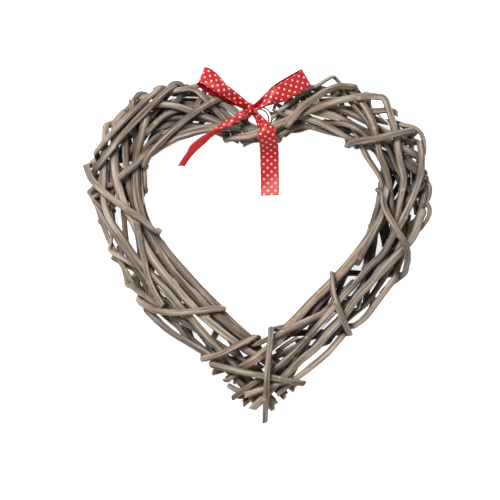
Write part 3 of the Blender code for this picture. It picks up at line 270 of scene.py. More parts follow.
# Rods: what each is like, with two that stand out by their colour
rods = {
    "sides": 16,
    "step": 0.0018,
    "coarseStep": 0.004,
    "kinks": (0.016, 0.034),
    "kinkSize": 0.00045,
    "levelling": 0.12,
    "swelling": 0.03,
    "swells": (0.008, 0.019),
    "thinness": 0.94,
    "tall": (0.66, 0.86),
    "mostLean": 0.5,
    "leanWave": 0.05,
    "squareness": 3.0,
    "squareMean": 1.04,
    "ridges": ((2, 0.025), (3, 0.034), (5, 0.030), (7, 0.018)),
    "ridgeWave": (0.03, 0.08),
    "ridgeSway": 1.4,
    "grainShift": 3,
    "grainShiftAcross": 0.01,
    # each end is rounded over three close rings: how far in, and how much of the radius
    "rounding": ((0.0, 0.84), (0.10, 0.95), (0.28, 1.0)),
    "slant": (0.1, 0.75),
    "slantReach": 1.5,
    "crisp": {"least": math.radians(24), "reach": 0.0035, "most": 0.3},
    "foldLeast": math.radians(38),
    "steadying": {"held": 0.002, "freeAfter": 0.010, "rounds": 40, "pull": 0.5,
                  "aside": 0.0028, "lift": 0.0011},
    "brightness": (0.82, 1.18),
    "tones": ((0.152, 0.118, 0.088), (0.190, 0.146, 0.108), (0.106, 0.077, 0.056), (0.132, 0.105, 0.084),
              (0.250, 0.199, 0.157), (0.083, 0.059, 0.043), (0.156, 0.109, 0.068)),
    # where a rod is drawn in: x, y, how far round there, and how far to the right and up, in metres
    "drawnIn": {
        "rod_right_binding": ((0.1024, 0.0519, 0.011, 0.0046, -0.0010),
                              (0.0616, -0.0219, 0.011, 0.0028, -0.0030),
                              (0.0767, 0.0882, 0.011, 0.0022, 0.0004)),
        "rod_right_lobe_innermost": ((0.0300, 0.1020, 0.016, 0.0, 0.0042),),
        "rod_right_cleft_shoulder": ((0.0873, 0.1433, 0.011, -0.0010, -0.0026),),
        "rod_right_limb_tan": ((0.0450, -0.0350, 0.060, 0.0008, -0.0008),),
        "rod_right_cleft_peak": ((0.0660, 0.1478, 0.012, 0.0, 0.0036),),
        "rod_right_limb_outer_long": ((0.1512, 0.0304, 0.020, -0.0046, 0.0),
                                      (0.1512, 0.0634, 0.012, -0.0016, 0.0)),
        "rod_left_lobe_top": ((-0.0965, 0.0714, 0.014, -0.0045, 0.0),),
        "rod_left_binding": ((-0.0867, 0.0146, 0.011, -0.0020, 0.0), (-0.0281, -0.0547, 0.011, -0.0032, 0.0)),
        "rod_left_lobe_long_chord": ((-0.0725, 0.1486, 0.010, 0.0006, -0.0022),),
        "rod_left_lobe_chord": ((-0.0876, 0.1442, 0.010, 0.0006, -0.0010),),
    },
    "named": {"rod_right_limb_tan": (0.26, 0.180, 0.105), "rod_left_limb_pale": (0.28, 0.220, 0.162)},
}


def readRod(nodeName):
    # middle line and thickness of a rod, from the rings of corners of its faceted tube
    shell = bmesh.new()
    shell.from_mesh(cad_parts[nodeName].data)
    bmesh.ops.remove_doubles(shell, verts=shell.verts, dist=frameWeldWithin)
    bmesh.ops.dissolve_limit(shell, angle_limit=math.radians(0.1), verts=shell.verts, edges=shell.edges)
    ends = [face for face in shell.faces if len(face.verts) == 6]
    ends.sort(key=lambda face: np.ptp([edge.calc_length() for edge in face.edges]))
    ring = set(ends[0].verts)
    passed = set(ring)
    line = []
    while ring:
        corners = np.array([corner.co for corner in ring])
        middle = corners.mean(axis=0)
        line.append((*middle, np.linalg.norm(corners - middle, axis=1).mean()))
        ring = {edge.other_vert(corner) for corner in ring for edge in corner.link_edges} - passed
        passed |= ring
    shell.free()
    return np.array(line)


def bendAt(line):
    steps = unit(np.diff(line[:, :3], axis=0))
    bends = np.zeros(len(line))
    bends[1:-1] = np.arccos(np.clip((steps[:-1] * steps[1:]).sum(axis=1), -1, 1))
    return bends


def crispFolds(line):
    # keeps a rod straight up to a sharp fold, by points close before and after it
    crisp = rods["crisp"]
    made = [line[0]]
    for index in range(1, len(line) - 1):
        before, here, after = line[index - 1], line[index], line[index + 1]
        gapBefore = np.linalg.norm(here[:3] - before[:3])
        gapAfter = np.linalg.norm(after[:3] - here[:3])
        cosine = np.dot(here[:3] - before[:3], after[:3] - here[:3]) / (gapBefore * gapAfter)
        if math.acos(max(-1.0, min(1.0, cosine))) > crisp["least"]:
            shareBefore = min(crisp["reach"] / gapBefore, crisp["most"])
            shareAfter = min(crisp["reach"] / gapAfter, crisp["most"])
            made += [here + (before - here) * shareBefore, here, here + (after - here) * shareAfter]
        else:
            made.append(here)
    return np.array(made + [line[-1]])


def steadied(line):
    # a stiffer line: long waves stay, short ones go, and sharp folds and ends are held
    folds = [line[k, :3] for k in np.flatnonzero(bendAt(line) > rods["foldLeast"])]
    folds += [line[0, :3], line[-1, :3]]
    steadying = rods["steadying"]
    dense = smoothLine(crispFolds(line), rods["coarseStep"])
    near = np.min([np.linalg.norm(dense[:, :3] - fold, axis=1) for fold in folds], axis=0)
    free = np.clip((near - steadying["held"]) / steadying["freeAfter"], 0, 1)
    moved = dense[:, :3].copy()
    for _ in range(steadying["rounds"]):
        pull = (moved[:-2] + moved[2:]) / 2 - moved[1:-1]
        moved[1:-1] += pull * steadying["pull"] * free[1:-1, None]
    shift = moved - dense[:, :3]
    flat = np.linalg.norm(shift[:, :2], axis=1)[:, None]
    dense[:, :2] += shift[:, :2] * steadying["aside"] / (steadying["aside"] + flat)
    dense[:, 2] += shift[:, 2] * steadying["lift"] / (steadying["lift"] + np.abs(shift[:, 2]))
    return dense


# The heart in plan, as the rods follow it: half its centre line, and the band's half width
heart = {
    "limbSlant": math.radians(45),
    "flankRadius": 0.1137,
    "lobeRadius": 0.0657,
    "lobeOffset": 0.0617,
    "cleftTurn": math.radians(130),
    "halfWidth": 0.0244,
    "cleftNarrowing": 0.5,
    "narrowingStarts": 85,
    "tip": (0.00074, -0.11553),
}


def heartPlace(side, station, lane):
    # station 0 is the tip and 100 the cleft; lane -1 is the inner edge and 1 the outer one
    slant, flankRadius, lobeRadius = heart["limbSlant"], heart["flankRadius"], heart["lobeRadius"]
    straight = (heart["lobeOffset"] + lobeRadius - flankRadius * (1 - math.cos(slant))) / math.sin(slant)
    flank = straight + flankRadius * slant
    lobe = flank + lobeRadius * heart["cleftTurn"]
    toAxis = (heart["lobeOffset"] + lobeRadius * math.cos(heart["cleftTurn"])) / math.sin(heart["cleftTurn"])
    high = straight * math.cos(slant) + flankRadius * math.sin(slant)
    run = station / 100 * (lobe + toAxis)
    if run <= straight:
        turn, x, y = slant, run * math.sin(slant), run * math.cos(slant)
    elif run <= flank:
        turn = slant - (run - straight) / flankRadius
        x = heart["lobeOffset"] + lobeRadius - flankRadius * (1 - math.cos(turn))
        y = high - flankRadius * math.sin(turn)
    else:
        turn = max(-(run - flank) / lobeRadius, -heart["cleftTurn"])
        beyond = max(0.0, run - lobe)
        x = heart["lobeOffset"] + lobeRadius * math.cos(turn) + beyond * math.sin(turn)
        y = high - lobeRadius * math.sin(turn) + beyond * math.cos(turn)
    share = min(1.0, max(0.0, (station - heart["narrowingStarts"]) / (100 - heart["narrowingStarts"])))
    wide = heart["halfWidth"] * (1 - heart["cleftNarrowing"] * share * share * (3 - 2 * share))
    place = np.array((side * (x + math.cos(turn) * lane * wide), y - math.sin(turn) * lane * wide))
    return place + heart["tip"]


heartGrid = [(side, station) for side in (-1, 1) for station in np.arange(0, 100.5, 1.0)]
heartMiddles = np.array([heartPlace(side, station, 0.0) for side, station in heartGrid])
heartEdges = np.array([heartPlace(side, station, 1.0) for side, station in heartGrid]) - heartMiddles


def laneOf(place):
    # how far across the band a place is, and the half width of the band outwards there
    away = place[:2] - heartMiddles
    wide = np.linalg.norm(heartEdges, axis=1)
    nearest = (np.linalg.norm(away, axis=1) / wide).argmin()
    return np.dot(away[nearest], heartEdges[nearest]) / wide[nearest] ** 2, heartEdges[nearest]


def keptInBand(place, inner, outer):
    lane, edge = laneOf(place)
    return place[:2] + edge * (min(outer, max(inner, lane)) - lane)


# How rods are threaded through the pile
threading = {
    "levels": np.arange(0.0055, 0.0560, 0.001),
    "step": 0.002,
    "mostShift": 2,
    "bite": 3.0,
    "wish": 0.006,
    "bend": 0.5,
    "spare": 0.0004,
    "frontStarts": 0.030,
    "over": 14.0,
    "startPull": 20,
    "barred": 1e9,
    "rounds": 4,
    "thinning": 3,
}


def threadHeights(plan, radius, wishes, solid, start=None, under=False):
    # the cheapest heights along a plan: clear of the rods there, near the wished ones, and smooth
    levels = threading["levels"]
    costs = np.zeros((len(plan), len(levels)))
    for index, place in enumerate(plan):
        away = np.hypot(solid[:, 0] - place[0], solid[:, 1] - place[1])
        close = away < solid[:, 3] + radius
        costs[index] = ((levels - wishes[index]) * 1000) ** 2 * threading["wish"]
        if close.any():
            apart = np.hypot(away[close][:, None], solid[close, 2][:, None] - levels[None, :])
            bite = np.maximum(0.0, solid[close, 3][:, None] + radius - threading["spare"] - apart)
            costs[index] += (bite.max(axis=0) * 1000) ** 2 * threading["bite"]
            if under:
                seen = solid[close, 2][:, None] > threading["frontStarts"]
                above = (levels[None, :] > solid[close, 2][:, None]) & seen
                costs[index] += above.any(axis=0) * threading["over"]
    if start is not None:
        costs[0] += ((levels - start) * 1000) ** 2 * threading["startPull"]
    best, steps, most = costs[0], [], threading["mostShift"]
    for row in costs[1:]:
        options = []
        for shift in range(-most, most + 1):
            moved = np.full(len(levels), threading["barred"])
            rising, falling = max(0, shift), max(0, -shift)
            moved[rising:len(levels) - falling] = best[falling:len(levels) - rising]
            options.append(moved + threading["bend"] * shift * shift)
        options = np.array(options)
        steps.append(options.argmin(axis=0) - most)
        best = options.min(axis=0) + row
    level = int(best.argmin())
    path = [level]
    for step in reversed(steps):
        level -= step[level]
        path.append(level)
    heights = levels[np.array(path[::-1])]
    for _ in range(threading["rounds"]):
        heights[1:-1] = (heights[:-2] + 2 * heights[1:-1] + heights[2:]) / 4
    return heights


tucking = {
    "tipEnds": -0.102,
    "least": 0.016,
    "edge": 0.72,
    "returning": -0.35,
    "along": 0.8,
    "inwards": 0.6,
    "within": 0.72,
    "narrowing": 0.04,
    "cleftHalfWidth": 0.034,
    "dip": 0.003,
    "sink": 0.009,
    "sinkReach": 0.016,
    "foldedRadius": 0.66,
    "fromStep": 3,
    "stepsOn": 3,
    "steps": 12,
    "mostSteps": 24,
    "cleftSteps": 5,
}


def tuckedIn(line, solid):
    # where a rod folds over the edge of the band, or stops inside it, its end goes on under the pile
    end, before = line[-1], line[-3]
    lane, edge = laneOf(end)
    if end[2] < tucking["least"] or end[1] < tucking["tipEnds"]:
        return line
    heading = unit(end[:2] - before[:2])
    edge = unit(edge) * np.sign(lane)
    outgoing = np.dot(heading, edge)
    folded = abs(lane) > tucking["edge"]
    if folded and outgoing > tucking["returning"]:
        beside = heading - edge * outgoing
        if np.linalg.norm(beside) < 0.1:
            beside = np.array((-edge[1], edge[0])) * np.sign(edge[0] + 0.01)
        heading = unit(unit(beside) * tucking["along"] - edge * tucking["inwards"])
    atCleft = abs(end[0]) < tucking["cleftHalfWidth"] and end[1] > 0
    reach = np.arange(1, tucking["cleftSteps" if atCleft else "mostSteps"]) * threading["step"]
    limits = np.maximum(tucking["within"], abs(lane) - reach / tucking["narrowing"])
    plan = np.array([keptInBand(end[:2] + run * heading, -limit, limit) for run, limit in zip(reach, limits)])
    sinking = end[2] - tucking["dip"] - tucking["sink"] * np.clip(reach / tucking["sinkReach"], 0, 1)
    heights = threadHeights(plan, end[3], sinking, solid, end[2] - tucking["dip"], under=True)
    over = [(np.hypot(solid[:, 0] - x, solid[:, 1] - y) < solid[:, 3]) & (solid[:, 2] > height + end[3])
            for (x, y), height in zip(plan, heights)]
    hidden = [index for index in range(tucking["fromStep"], len(plan)) if over[index].any()]
    kept = hidden[0] + tucking["stepsOn"] if hidden else tucking["steps"]
    plan, heights = plan[:kept], heights[:kept]
    narrowed = tucking["foldedRadius"] if folded else 1.0
    added = np.column_stack((plan, heights, np.full(len(plan), end[3] * narrowed)))
    every = threading["thinning"]
    return np.vstack((line[:-1], end * (1, 1, 1, narrowed), added[every - 1::every]))


# Bud scars: each swells the rod, stands out on one side and leaves a pale mark there
scarring = {
    "first": 0.006,
    "spacing": (0.028, 0.062),
    "fromEnd": 0.004,
    "turn": math.radians(144),
    "turnSpread": 0.3,
    "size": (0.6, 1.25),
    "within": 0.009,
    "swell": {"high": 0.055, "reach": 0.0026},
    "bud": {"high": 0.16, "reach": 0.0013, "round": 0.55},
    "mark": {"reach": 0.0010, "round": 0.42},
}


def scarsAlong(whole, chance):
    # where the scars of a rod are, which way they face and how big they are
    scars = []
    spot = chance.uniform(scarring["first"], scarring["spacing"][0])
    turn = chance.uniform(0, math.tau)
    while spot < whole - scarring["fromEnd"]:
        scars.append((spot, turn % math.tau, chance.uniform(*scarring["size"])))
        spot += chance.uniform(*scarring["spacing"])
        turn += scarring["turn"] + chance.uniform(-scarring["turnSpread"], scarring["turnSpread"])
    return scars


def scarAt(scars, run, angle):
    # how pale the bark is at a place, and how far it stands out there
    swell, bud, pale = scarring["swell"], scarring["bud"], scarring["mark"]
    mark, bulge = 0.0, 0.0
    for spot, turn, size in scars:
        away = run - spot
        if abs(away) > scarring["within"]:
            continue
        beside = abs((angle - turn + math.pi) % math.tau - math.pi)
        bulge += size * (swell["high"] * math.exp(-(away / swell["reach"]) ** 2)
                         + bud["high"] * math.exp(-(away / bud["reach"]) ** 2 - (beside / bud["round"]) ** 2))
        mark = max(mark, size * math.exp(-(away / pale["reach"]) ** 2 - (beside / pale["round"]) ** 2))
    return min(1.0, mark), bulge


def makeRod(name, line, tone, sides, step, seed):
    # a willow rod along a line of places with their radii: gentle wander, bud scars, slanted cut ends
    chance = random.Random(seed)
    dense = smoothLine(line, step)
    places, radii = dense[:, :3], dense[:, 3]
    runs = runsAlong(places)
    phases = [chance.uniform(0, math.tau) for _ in range(6)]
    stops = [0.0]
    while stops[-1] < runs[-1]:
        stops.append(stops[-1] + chance.uniform(*rods["kinks"]))
    for axis in range(3):
        offsets = [chance.uniform(-1, 1) * rods["kinkSize"] for _ in stops]
        places[:, axis] += np.interp(runs, stops, offsets)
    along, sideways, upward = carriedFrames(places, rods["levelling"])
    swells = [np.sin(runs / wave + phase) for wave, phase in zip(rods["swells"], phases[2:4])]
    radii = radii * rods["thinness"] * (1 + rods["swelling"] * sum(swells) / 2)
    scars = scarsAlong(runs[-1], chance)
    slants = [(chance.uniform(*rods["slant"]), chance.uniform(0, math.tau)) for _ in range(2)]
    offset = np.array([chance.uniform(-1, 1) for _ in range(3)]) * rods["grainShift"]
    offset[:2] *= rods["grainShiftAcross"]
    tall = chance.uniform(*rods["tall"])
    lean = chance.uniform(-rods["mostLean"], rods["mostLean"])
    power = rods["squareness"]
    ridges = [(count, size, chance.uniform(0, math.tau), chance.uniform(*rods["ridgeWave"]))
              for count, size in rods["ridges"]]
    # the rings: the place each belongs to, how far past it, and how much of the radius
    first, last = radii[0], radii[-1]
    rings = [(0, inwards * first, share) for inwards, share in rods["rounding"]]
    rings += [(index, 0.0, 1.0) for index in range(1, len(places) - 1)]
    rings += [(len(places) - 1, -inwards * last, share) for inwards, share in reversed(rods["rounding"])]
    final = len(rings) - 1
    shell = bmesh.new()
    bmesh.ops.create_grid(shell, x_segments=final, y_segments=sides, size=1.0)
    barkLayer = shell.verts.layers.float_vector.new("bark")
    tintLayer = shell.verts.layers.float_color.new("tint")
    scarLayer = shell.verts.layers.float.new("scar")
    coreLayer = shell.verts.layers.float.new("core")
    for corner in shell.verts:
        index, shift, share = rings[int(round((corner.co.x + 1) / 2 * final))]
        angle = math.tau * (int(round((corner.co.y + 1) / 2 * sides)) % sides) / sides
        run = runs[index] + shift
        radius = radii[index]
        mark, bulge = scarAt(scars, run, angle)
        shape = (abs(math.cos(angle)) ** power + abs(math.sin(angle)) ** power) ** (-1 / power)
        shape -= rods["squareMean"]
        for count, size, phase, wave in ridges:
            shape += size * math.cos(count * angle + phase + rods["ridgeSway"] * math.sin(run / wave + phase))
        reach = radius * share * (1 + bulge + shape)
        leaning = lean * math.sin(run / rods["leanWave"] + phases[4])
        wide, high = math.cos(angle), math.sin(angle) * tall
        across = (sideways[index] * (wide * math.cos(leaning) - high * math.sin(leaning))
                  + upward[index] * (wide * math.sin(leaning) + high * math.cos(leaning)))
        place = places[index] + across * reach + along[index] * shift
        for (slope, facing), end, length in ((slants[0], 0.0, first), (slants[1], runs[-1], last)):
            near = max(0.0, 1 - abs(run - end) / (rods["slantReach"] * length))
            place = place + along[index] * (slope * near * reach * math.cos(angle - facing))
        corner.co = place
        corner[barkLayer] = Vector((math.cos(angle) * radius + offset[0],
                                    math.sin(angle) * radius + offset[1], run + offset[2]))
        corner[tintLayer] = (*tone, 1.0)
        corner[scarLayer] = mark
        corner[coreLayer] = 0.0
    bmesh.ops.remove_doubles(shell, verts=shell.verts, dist=weldWithin)
    rims = [edge for edge in shell.edges if len(edge.link_faces) == 1]
    caps = bmesh.ops.holes_fill(shell, edges=rims, sides=0)["faces"]
    for cap in caps:
        cap.material_index = 1
    for middle in bmesh.ops.poke(shell, faces=caps)["verts"]:
        middle[coreLayer] = 1.0
    bmesh.ops.recalc_face_normals(shell, faces=shell.faces)
    return asObject(name, shell, [greyedWillow, cutEnd])


def toneFor(name, chance):
    tone = rods["named"].get(name) or chance.choice(rods["tones"])
    brightness = chance.uniform(*rods["brightness"])
    return tuple(value * brightness for value in tone)


# Places of the photograph, in pixels, and the openings of the weave where the floor shows
photoScale = {"perPixel": 0.000888, "middle": (259.5, 376.5), "place": (0.00074, -0.11553)}
openings = ((311, 344), (187, 143), (351, 279), (163, 294), (415, 212), (196, 85), (173, 97), (379, 249),
            (337, 124), (397, 179), (194, 335), (135, 247), (335, 317), (139, 284), (372, 159), (384, 150),
            (357, 319), (360, 267), (132, 229), (364, 299))
opening = {"clear": 0.0022, "reach": 0.013, "most": 0.0032}


def photoPlace(pixel):
    x = (pixel[0] - photoScale["middle"][0]) * photoScale["perPixel"] + photoScale["place"][0]
    y = (photoScale["middle"][1] - pixel[1]) * photoScale["perPixel"] + photoScale["place"][1]
    return x, y


def pushedAside(line):
    # a rod that would fill one of the openings passes beside it
    for x, y in (photoPlace(pixel) for pixel in openings):
        away = line[:, :2] - (x, y)
        apart = np.linalg.norm(away, axis=1)
        nearest = int(apart.argmin())
        push = min(opening["most"], line[nearest, 3] + opening["clear"] - apart[nearest])
        if push > 0:
            fade = np.exp(-((line[:, 0] - line[nearest, 0]) ** 2 + (line[:, 1] - line[nearest, 1]) ** 2)
                          / opening["reach"] ** 2)
            line[:, :2] += unit(away[nearest]) * push * fade[:, None]
    return line


def drawnIn(name, line):
    # a few folds that stand out of the outline are drawn in a little
    for x, y, reach, aside, along in rods["drawnIn"].get(name, ()):
        near = np.exp(-((line[:, 0] - x) ** 2 + (line[:, 1] - y) ** 2) / reach ** 2)
        line[:, 0] += near * aside
        line[:, 1] += near * along
    return line


rodNames = sorted(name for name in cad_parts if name.startswith("rod_"))
rodLines = {name: pushedAside(drawnIn(name, steadied(readRod(name)))) for name in rodNames}
solid = np.vstack(list(rodLines.values()))
shownRods = []
for nodeName in rodNames:
    chance = random.Random(nodeName)
    line = rodLines[nodeName]
    others = np.vstack([rodLines[name] for name in rodNames if name != nodeName])
    line = tuckedIn(line, others)
    line = tuckedIn(line[::-1], others)[::-1]
    solid = np.vstack((solid, smoothLine(line, rods["coarseStep"])))
    piece = makeRod(nodeName.replace("rod_", "willow_"), line, toneFor(nodeName, chance),
                    rods["sides"], rods["step"], nodeName)
    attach(piece, "root")
    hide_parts(nodeName)
    shownRods.append(piece)
print("rods", len(shownRods))


# More rods of the weave between the ones that the frame holds. Those seen in the photograph are listed
# one by one: a radius and a height in millimetres, and then places in its pixels.
seenRods = {
    "lobe_left_upright": (3.0, 31, (132, 100), (133, 118), (134.5, 136), (136.5, 156), (137, 176),
                          (137.5, 192)),
    "lobe_left_thin": (1.6, 30, (141.5, 145), (140, 160), (140.5, 175), (142, 190), (143, 205)),
    "lobe_left_level_high": (3.2, 30, (148, 114), (167, 110), (190, 101.5), (203, 101.5)),
    "lobe_left_level_mid": (2.8, 28, (141, 123), (161, 117), (180, 113), (193, 112)),
    "lobe_left_level_low": (3.0, 27, (150, 131), (170, 124), (190, 118), (205, 113)),
    "lobe_left_deep": (3.0, 20, (181, 100), (189, 92), (197, 87)),
    "lobe_right_level": (3.1, 31, (364, 112), (378, 111), (390, 110.5), (400, 115)),
    "lobe_right_dark": (2.8, 22, (368, 116), (384, 121), (398, 123), (409, 127)),
    "lobe_right_blunt": (3.2, 22, (341, 127.5), (358, 129), (374, 131)),
    "flank_right_inner": (3.2, 20, (387, 185), (382, 200), (379, 215), (376, 232)),
    "flank_right_slant": (3.0, 30, (404, 162), (414, 170), (427, 179)),
    "flank_right_level": (3.0, 28, (403, 138), (413, 139), (424, 142)),
    "flank_right_cross": (2.6, 26, (396, 222), (405, 208), (418, 193)),
    "flank_right_down": (2.5, 26, (411, 213), (408, 228), (405, 242)),
    "limb_right_edge": (2.4, 18, (375, 295), (372, 309), (364, 319), (350, 331)),
    "limb_right_deep": (2.8, 14, (352, 272), (343, 288), (334, 302), (326, 316)),
    "limb_right_dark": (2.4, 16, (372, 246), (366, 262), (360, 276)),
    "limb_right_upper": (2.8, 30, (381, 282), (390, 264), (400, 250)),
    "limb_right_return": (2.2, 30, (407, 273), (397, 281), (388, 287), (380, 296)),
    "tip_slant": (3.0, 33, (254, 345.5), (262, 351), (270, 357), (284, 366)),
    "tip_thin_high": (2.0, 37, (276, 352), (288, 343), (302, 335)),
    "tip_thin_low": (2.2, 36, (274, 357), (287, 351), (302, 343)),
    "limb_left_thin": (1.8, 26, (176, 318), (190, 330), (204, 342), (214, 350)),
    "limb_left_brown": (2.9, 36, (138, 222), (141, 243), (145, 262), (149, 279), (156, 294), (166, 309)),
    "limb_left_inner": (2.6, 34, (146, 222), (154, 240), (164, 258), (177, 279), (190, 298)),
    "limb_left_bent": (1.8, 12, (132, 268), (141, 279), (146, 291), (152, 304)),
    "flank_left_cross": (2.0, 20, (99, 184), (106, 174), (116, 161)),
    "flank_left_lower": (2.0, 16, (100, 193), (110, 182), (121, 171)),
    "shoulder_left_high": (2.8, 36, (207, 95), (213, 99), (226, 107), (240, 117)),
    "shoulder_left_low": (2.8, 32, (208, 104), (221, 114), (232, 124), (246, 130)),
    "cleft_low": (2.6, 25, (243, 143.5), (252, 139.5), (264, 138)),
    "shoulder_right_low": (2.8, 33, (311, 116), (296, 125), (284, 135)),
    "stub_left_high": (3.2, 24, (262, 352), (240, 364), (212, 373.5)),
    "stub_left_curved": (2.8, 33, (264, 380), (254, 388), (246, 392), (236, 390.5), (228, 386)),
    "stub_left_round": (3.5, 24, (264, 391), (250, 396), (233, 398)),
    "stub_left_foot": (3.2, 19, (268, 396), (260, 403), (253, 410)),
    "stub_right_square": (3.2, 29, (266, 380), (277, 390), (285, 398)),
    "stub_right_upper": (2.6, 26, (278, 379), (287, 385), (294, 390.5)),
    "stub_left_mid": (2.9, 22, (262, 366), (244, 377), (229, 385)),
    "stub_left_pale": (2.2, 30, (246, 367), (235, 376), (223.5, 381.5)),
    "stub_left_low": (2.8, 16, (264, 386), (255, 397), (248, 404.5)),
    "stub_right_low": (2.7, 24, (256, 382), (267, 395), (277, 404.5)),
    "stub_foot": (2.6, 14, (260, 392), (267, 402), (272, 409)),
}

# Those that bend over along the outline of the lobes and the right flank; they go in last
rimRods = {
    "rim_right": (2.3, 27, (399, 124.8), (409, 125.8), (417, 129), (422.3, 135.5), (424, 146), (423.2, 157)),
    "rim_left_arch": (2.2, 26, (150, 98.5), (145, 94), (140, 92.6), (136, 95.4), (131, 102.5), (124.5, 109),
                      (121.5, 115), (120.8, 122)),
    "rim_left_fold": (2.3, 27, (168, 88), (172.5, 83.6), (177, 82), (181.5, 84), (186.5, 88.5), (191, 94)),
    "rim_right_thin": (1.9, 29, (424.5, 176), (428.5, 181.5), (431, 188), (430, 195.5), (425.5, 205),
                       (418.5, 216), (412, 227), (407, 237)),
    "rim_right_tip": (2.0, 31, (426.8, 202.5), (429.6, 207.5), (429.4, 214), (426, 221), (420, 228.5),
                      (413, 236)),
    "rim_left_low_fold": (2.2, 26, (152.5, 90.5), (157, 87), (161.5, 86), (166, 88.2), (170.5, 93)),
}

# Those deeper in the weave are wound from edge to edge, by chance
weft = {
    "middle": {"count": 8, "height": 0.028, "radius": (0.0022, 0.0030)},
    "back": {"count": 8, "height": 0.012, "radius": (0.0022, 0.0032)},
    # stations of the heart that a rod crosses, where the first may start, and where across the band it ends
    "crossing": (24, 44),
    "firstStation": 3,
    "lastStation": 99,
    "jitter": (0.1, 0.9),
    "lanes": (0.78, 0.96),
    "stops": 7,
    "tries": 9,
    "clear": 0.0048,
    "mostFree": 0.9,
    "within": {-1: (-0.72, 0.95), 1: (-0.58, 0.97)},
    "dip": 0.012,
    "dipReach": 0.014,
    "taper": (1.06, 0.94),
    "topFrom": 35,
    "sides": 14,
    "step": 0.0022,
}


def windingPlan(side, first, last, laneFirst, laneLast):
    # a straight rod from edge to edge, bent only as far as the band makes it
    start, end = heartPlace(side, first, laneFirst), heartPlace(side, last, laneLast)
    stops = [keptInBand(start + (end - start) * share, *weft["within"][side])
             for share in np.linspace(0, 1, weft["stops"])]
    return smoothLine(np.array(stops), threading["step"])


def blocked(plan):
    # how many of the openings a rod along this plan would fill, less a little for passing them far off
    places = np.array([photoPlace(pixel) for pixel in openings])
    apart = np.hypot(plan[:, None, 0] - places[:, 0], plan[:, None, 1] - places[:, 1]).min(axis=0)
    return (apart < weft["clear"]).sum() - min(weft["mostFree"], apart.min() * 100)


def addWeftRod(name, plan, radius, height, tone, slotName, under, tuck):
    global solid
    # its ends dip into the weave, but for the stubs at the tip, which end in sight
    fromEnd = np.minimum(np.arange(len(plan)), np.arange(len(plan))[::-1]) * threading["step"]
    dip = 0.0 if "stub" in name else weft["dip"]
    wishes = height - dip * np.clip(1 - fromEnd / weft["dipReach"], 0, 1)
    heights = threadHeights(plan, radius, wishes, solid, under=under)
    taper = np.linspace(*weft["taper"], len(plan)) * radius
    line = np.column_stack((plan, heights, taper))[::threading["thinning"]]
    if tuck:
        line = tuckedIn(line, solid)
        line = tuckedIn(line[::-1], solid)[::-1]
    solid = np.vstack((solid, smoothLine(line, rods["coarseStep"])))
    piece = makeRod(name, line, tone, weft["sides"], weft["step"], name)
    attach(piece, "root")
    shownRods.append(piece)


def addSeenRods(rodsSeen):
    for name, (radius, height, *pixels) in rodsSeen.items():
        plan = smoothLine(np.array([photoPlace(pixel) for pixel in pixels]), threading["step"])
        plan = pushedAside(np.column_stack((plan, plan * 0 + radius / 1000)))[:, :2]
        addWeftRod("willow_" + name, plan, radius / 1000, height / 1000, toneFor("", chance),
                   chance.choice(rodNames) + "_willow", height < weft["topFrom"], False)


chance = random.Random("weft")
addSeenRods(seenRods)
# a torn sliver of bark lies across beside the ring: its pixels, with a height and a radius in metres
sliverStops = (((272.0, 109.6), 0.0385, 0.0003), ((276.0, 111.2), 0.038, 0.0010),
               ((281.0, 114.2), 0.036, 0.0015), ((288.0, 117.5), 0.032, 0.0016))
sliver = np.array([(*photoPlace(pixel), height, radius) for pixel, height, radius in sliverStops])
piece = makeRod("willow_sliver", sliver, rods["tones"][0], weft["sides"], weft["step"], "sliver")
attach(piece, "root")
shownRods.append(piece)
number = 0
for layer in ("middle", "back"):
    settings = weft[layer]
    for side in (-1, 1):
        for index in range(settings["count"]):
            way = 1 if (index + (side > 0)) % 2 else -1
            plans = []
            for _ in range(weft["tries"]):
                span = chance.uniform(*weft["crossing"])
                share = (index + chance.uniform(*weft["jitter"])) / settings["count"]
                first = weft["firstStation"] + share * (weft["lastStation"] - weft["firstStation"] - span)
                laneFirst = chance.uniform(*weft["lanes"]) * way
                laneLast = -chance.uniform(*weft["lanes"]) * way
                plans.append(windingPlan(side, first, first + span, laneFirst, laneLast))
            plan = min(plans, key=blocked)
            number += 1
            addWeftRod(f"willow_wound_{number:02d}", plan, chance.uniform(*settings["radius"]),
                       settings["height"], toneFor("", chance), rodNames[number % len(rodNames)] + "_willow",
                       True, True)
chance = random.Random("rim")
addSeenRods(rimRods)
print("wound rods", number)


# Openness: the share of rays from a place of the bark that leave the weave; the bark is painted darker where
# it is low, as painted shade
probing = {"rays": 26, "above": 0.0006, "reach": 0.030, "grazing": 0.2, "rounds": 2}


def markOpenness(pieces):
    # painted shade: bark deep in the weave, where few rays leave it, is painted darker
    shell = bmesh.new()
    for piece in pieces:
        shell.from_mesh(piece.data)
    tree = BVHTree.FromBMesh(shell)
    shell.free()
    chance = random.Random("openness")
    rays = [Vector([chance.gauss(0, 1) for _ in range(3)]).normalized() for _ in range(probing["rays"])]
    for piece in pieces:
        mesh = piece.data
        found = np.zeros(len(mesh.vertices))
        for corner in mesh.vertices:
            normal = corner.normal
            spot = corner.co + normal * probing["above"]
            clear, whole = 0.0, 1e-6
            for ray in rays:
                facing = ray.dot(normal)
                if facing < probing["grazing"]:
                    continue
                whole += facing
                if tree.ray_cast(spot, ray, probing["reach"])[0] is None:
                    clear += facing
            found[corner.index] = clear / whole
        for _ in range(probing["rounds"]):
            found = smoothedOver(mesh, found)
        layer = mesh.attributes.new("openness", "FLOAT", "POINT")
        layer.data.foreach_set("value", found.astype(np.float32))


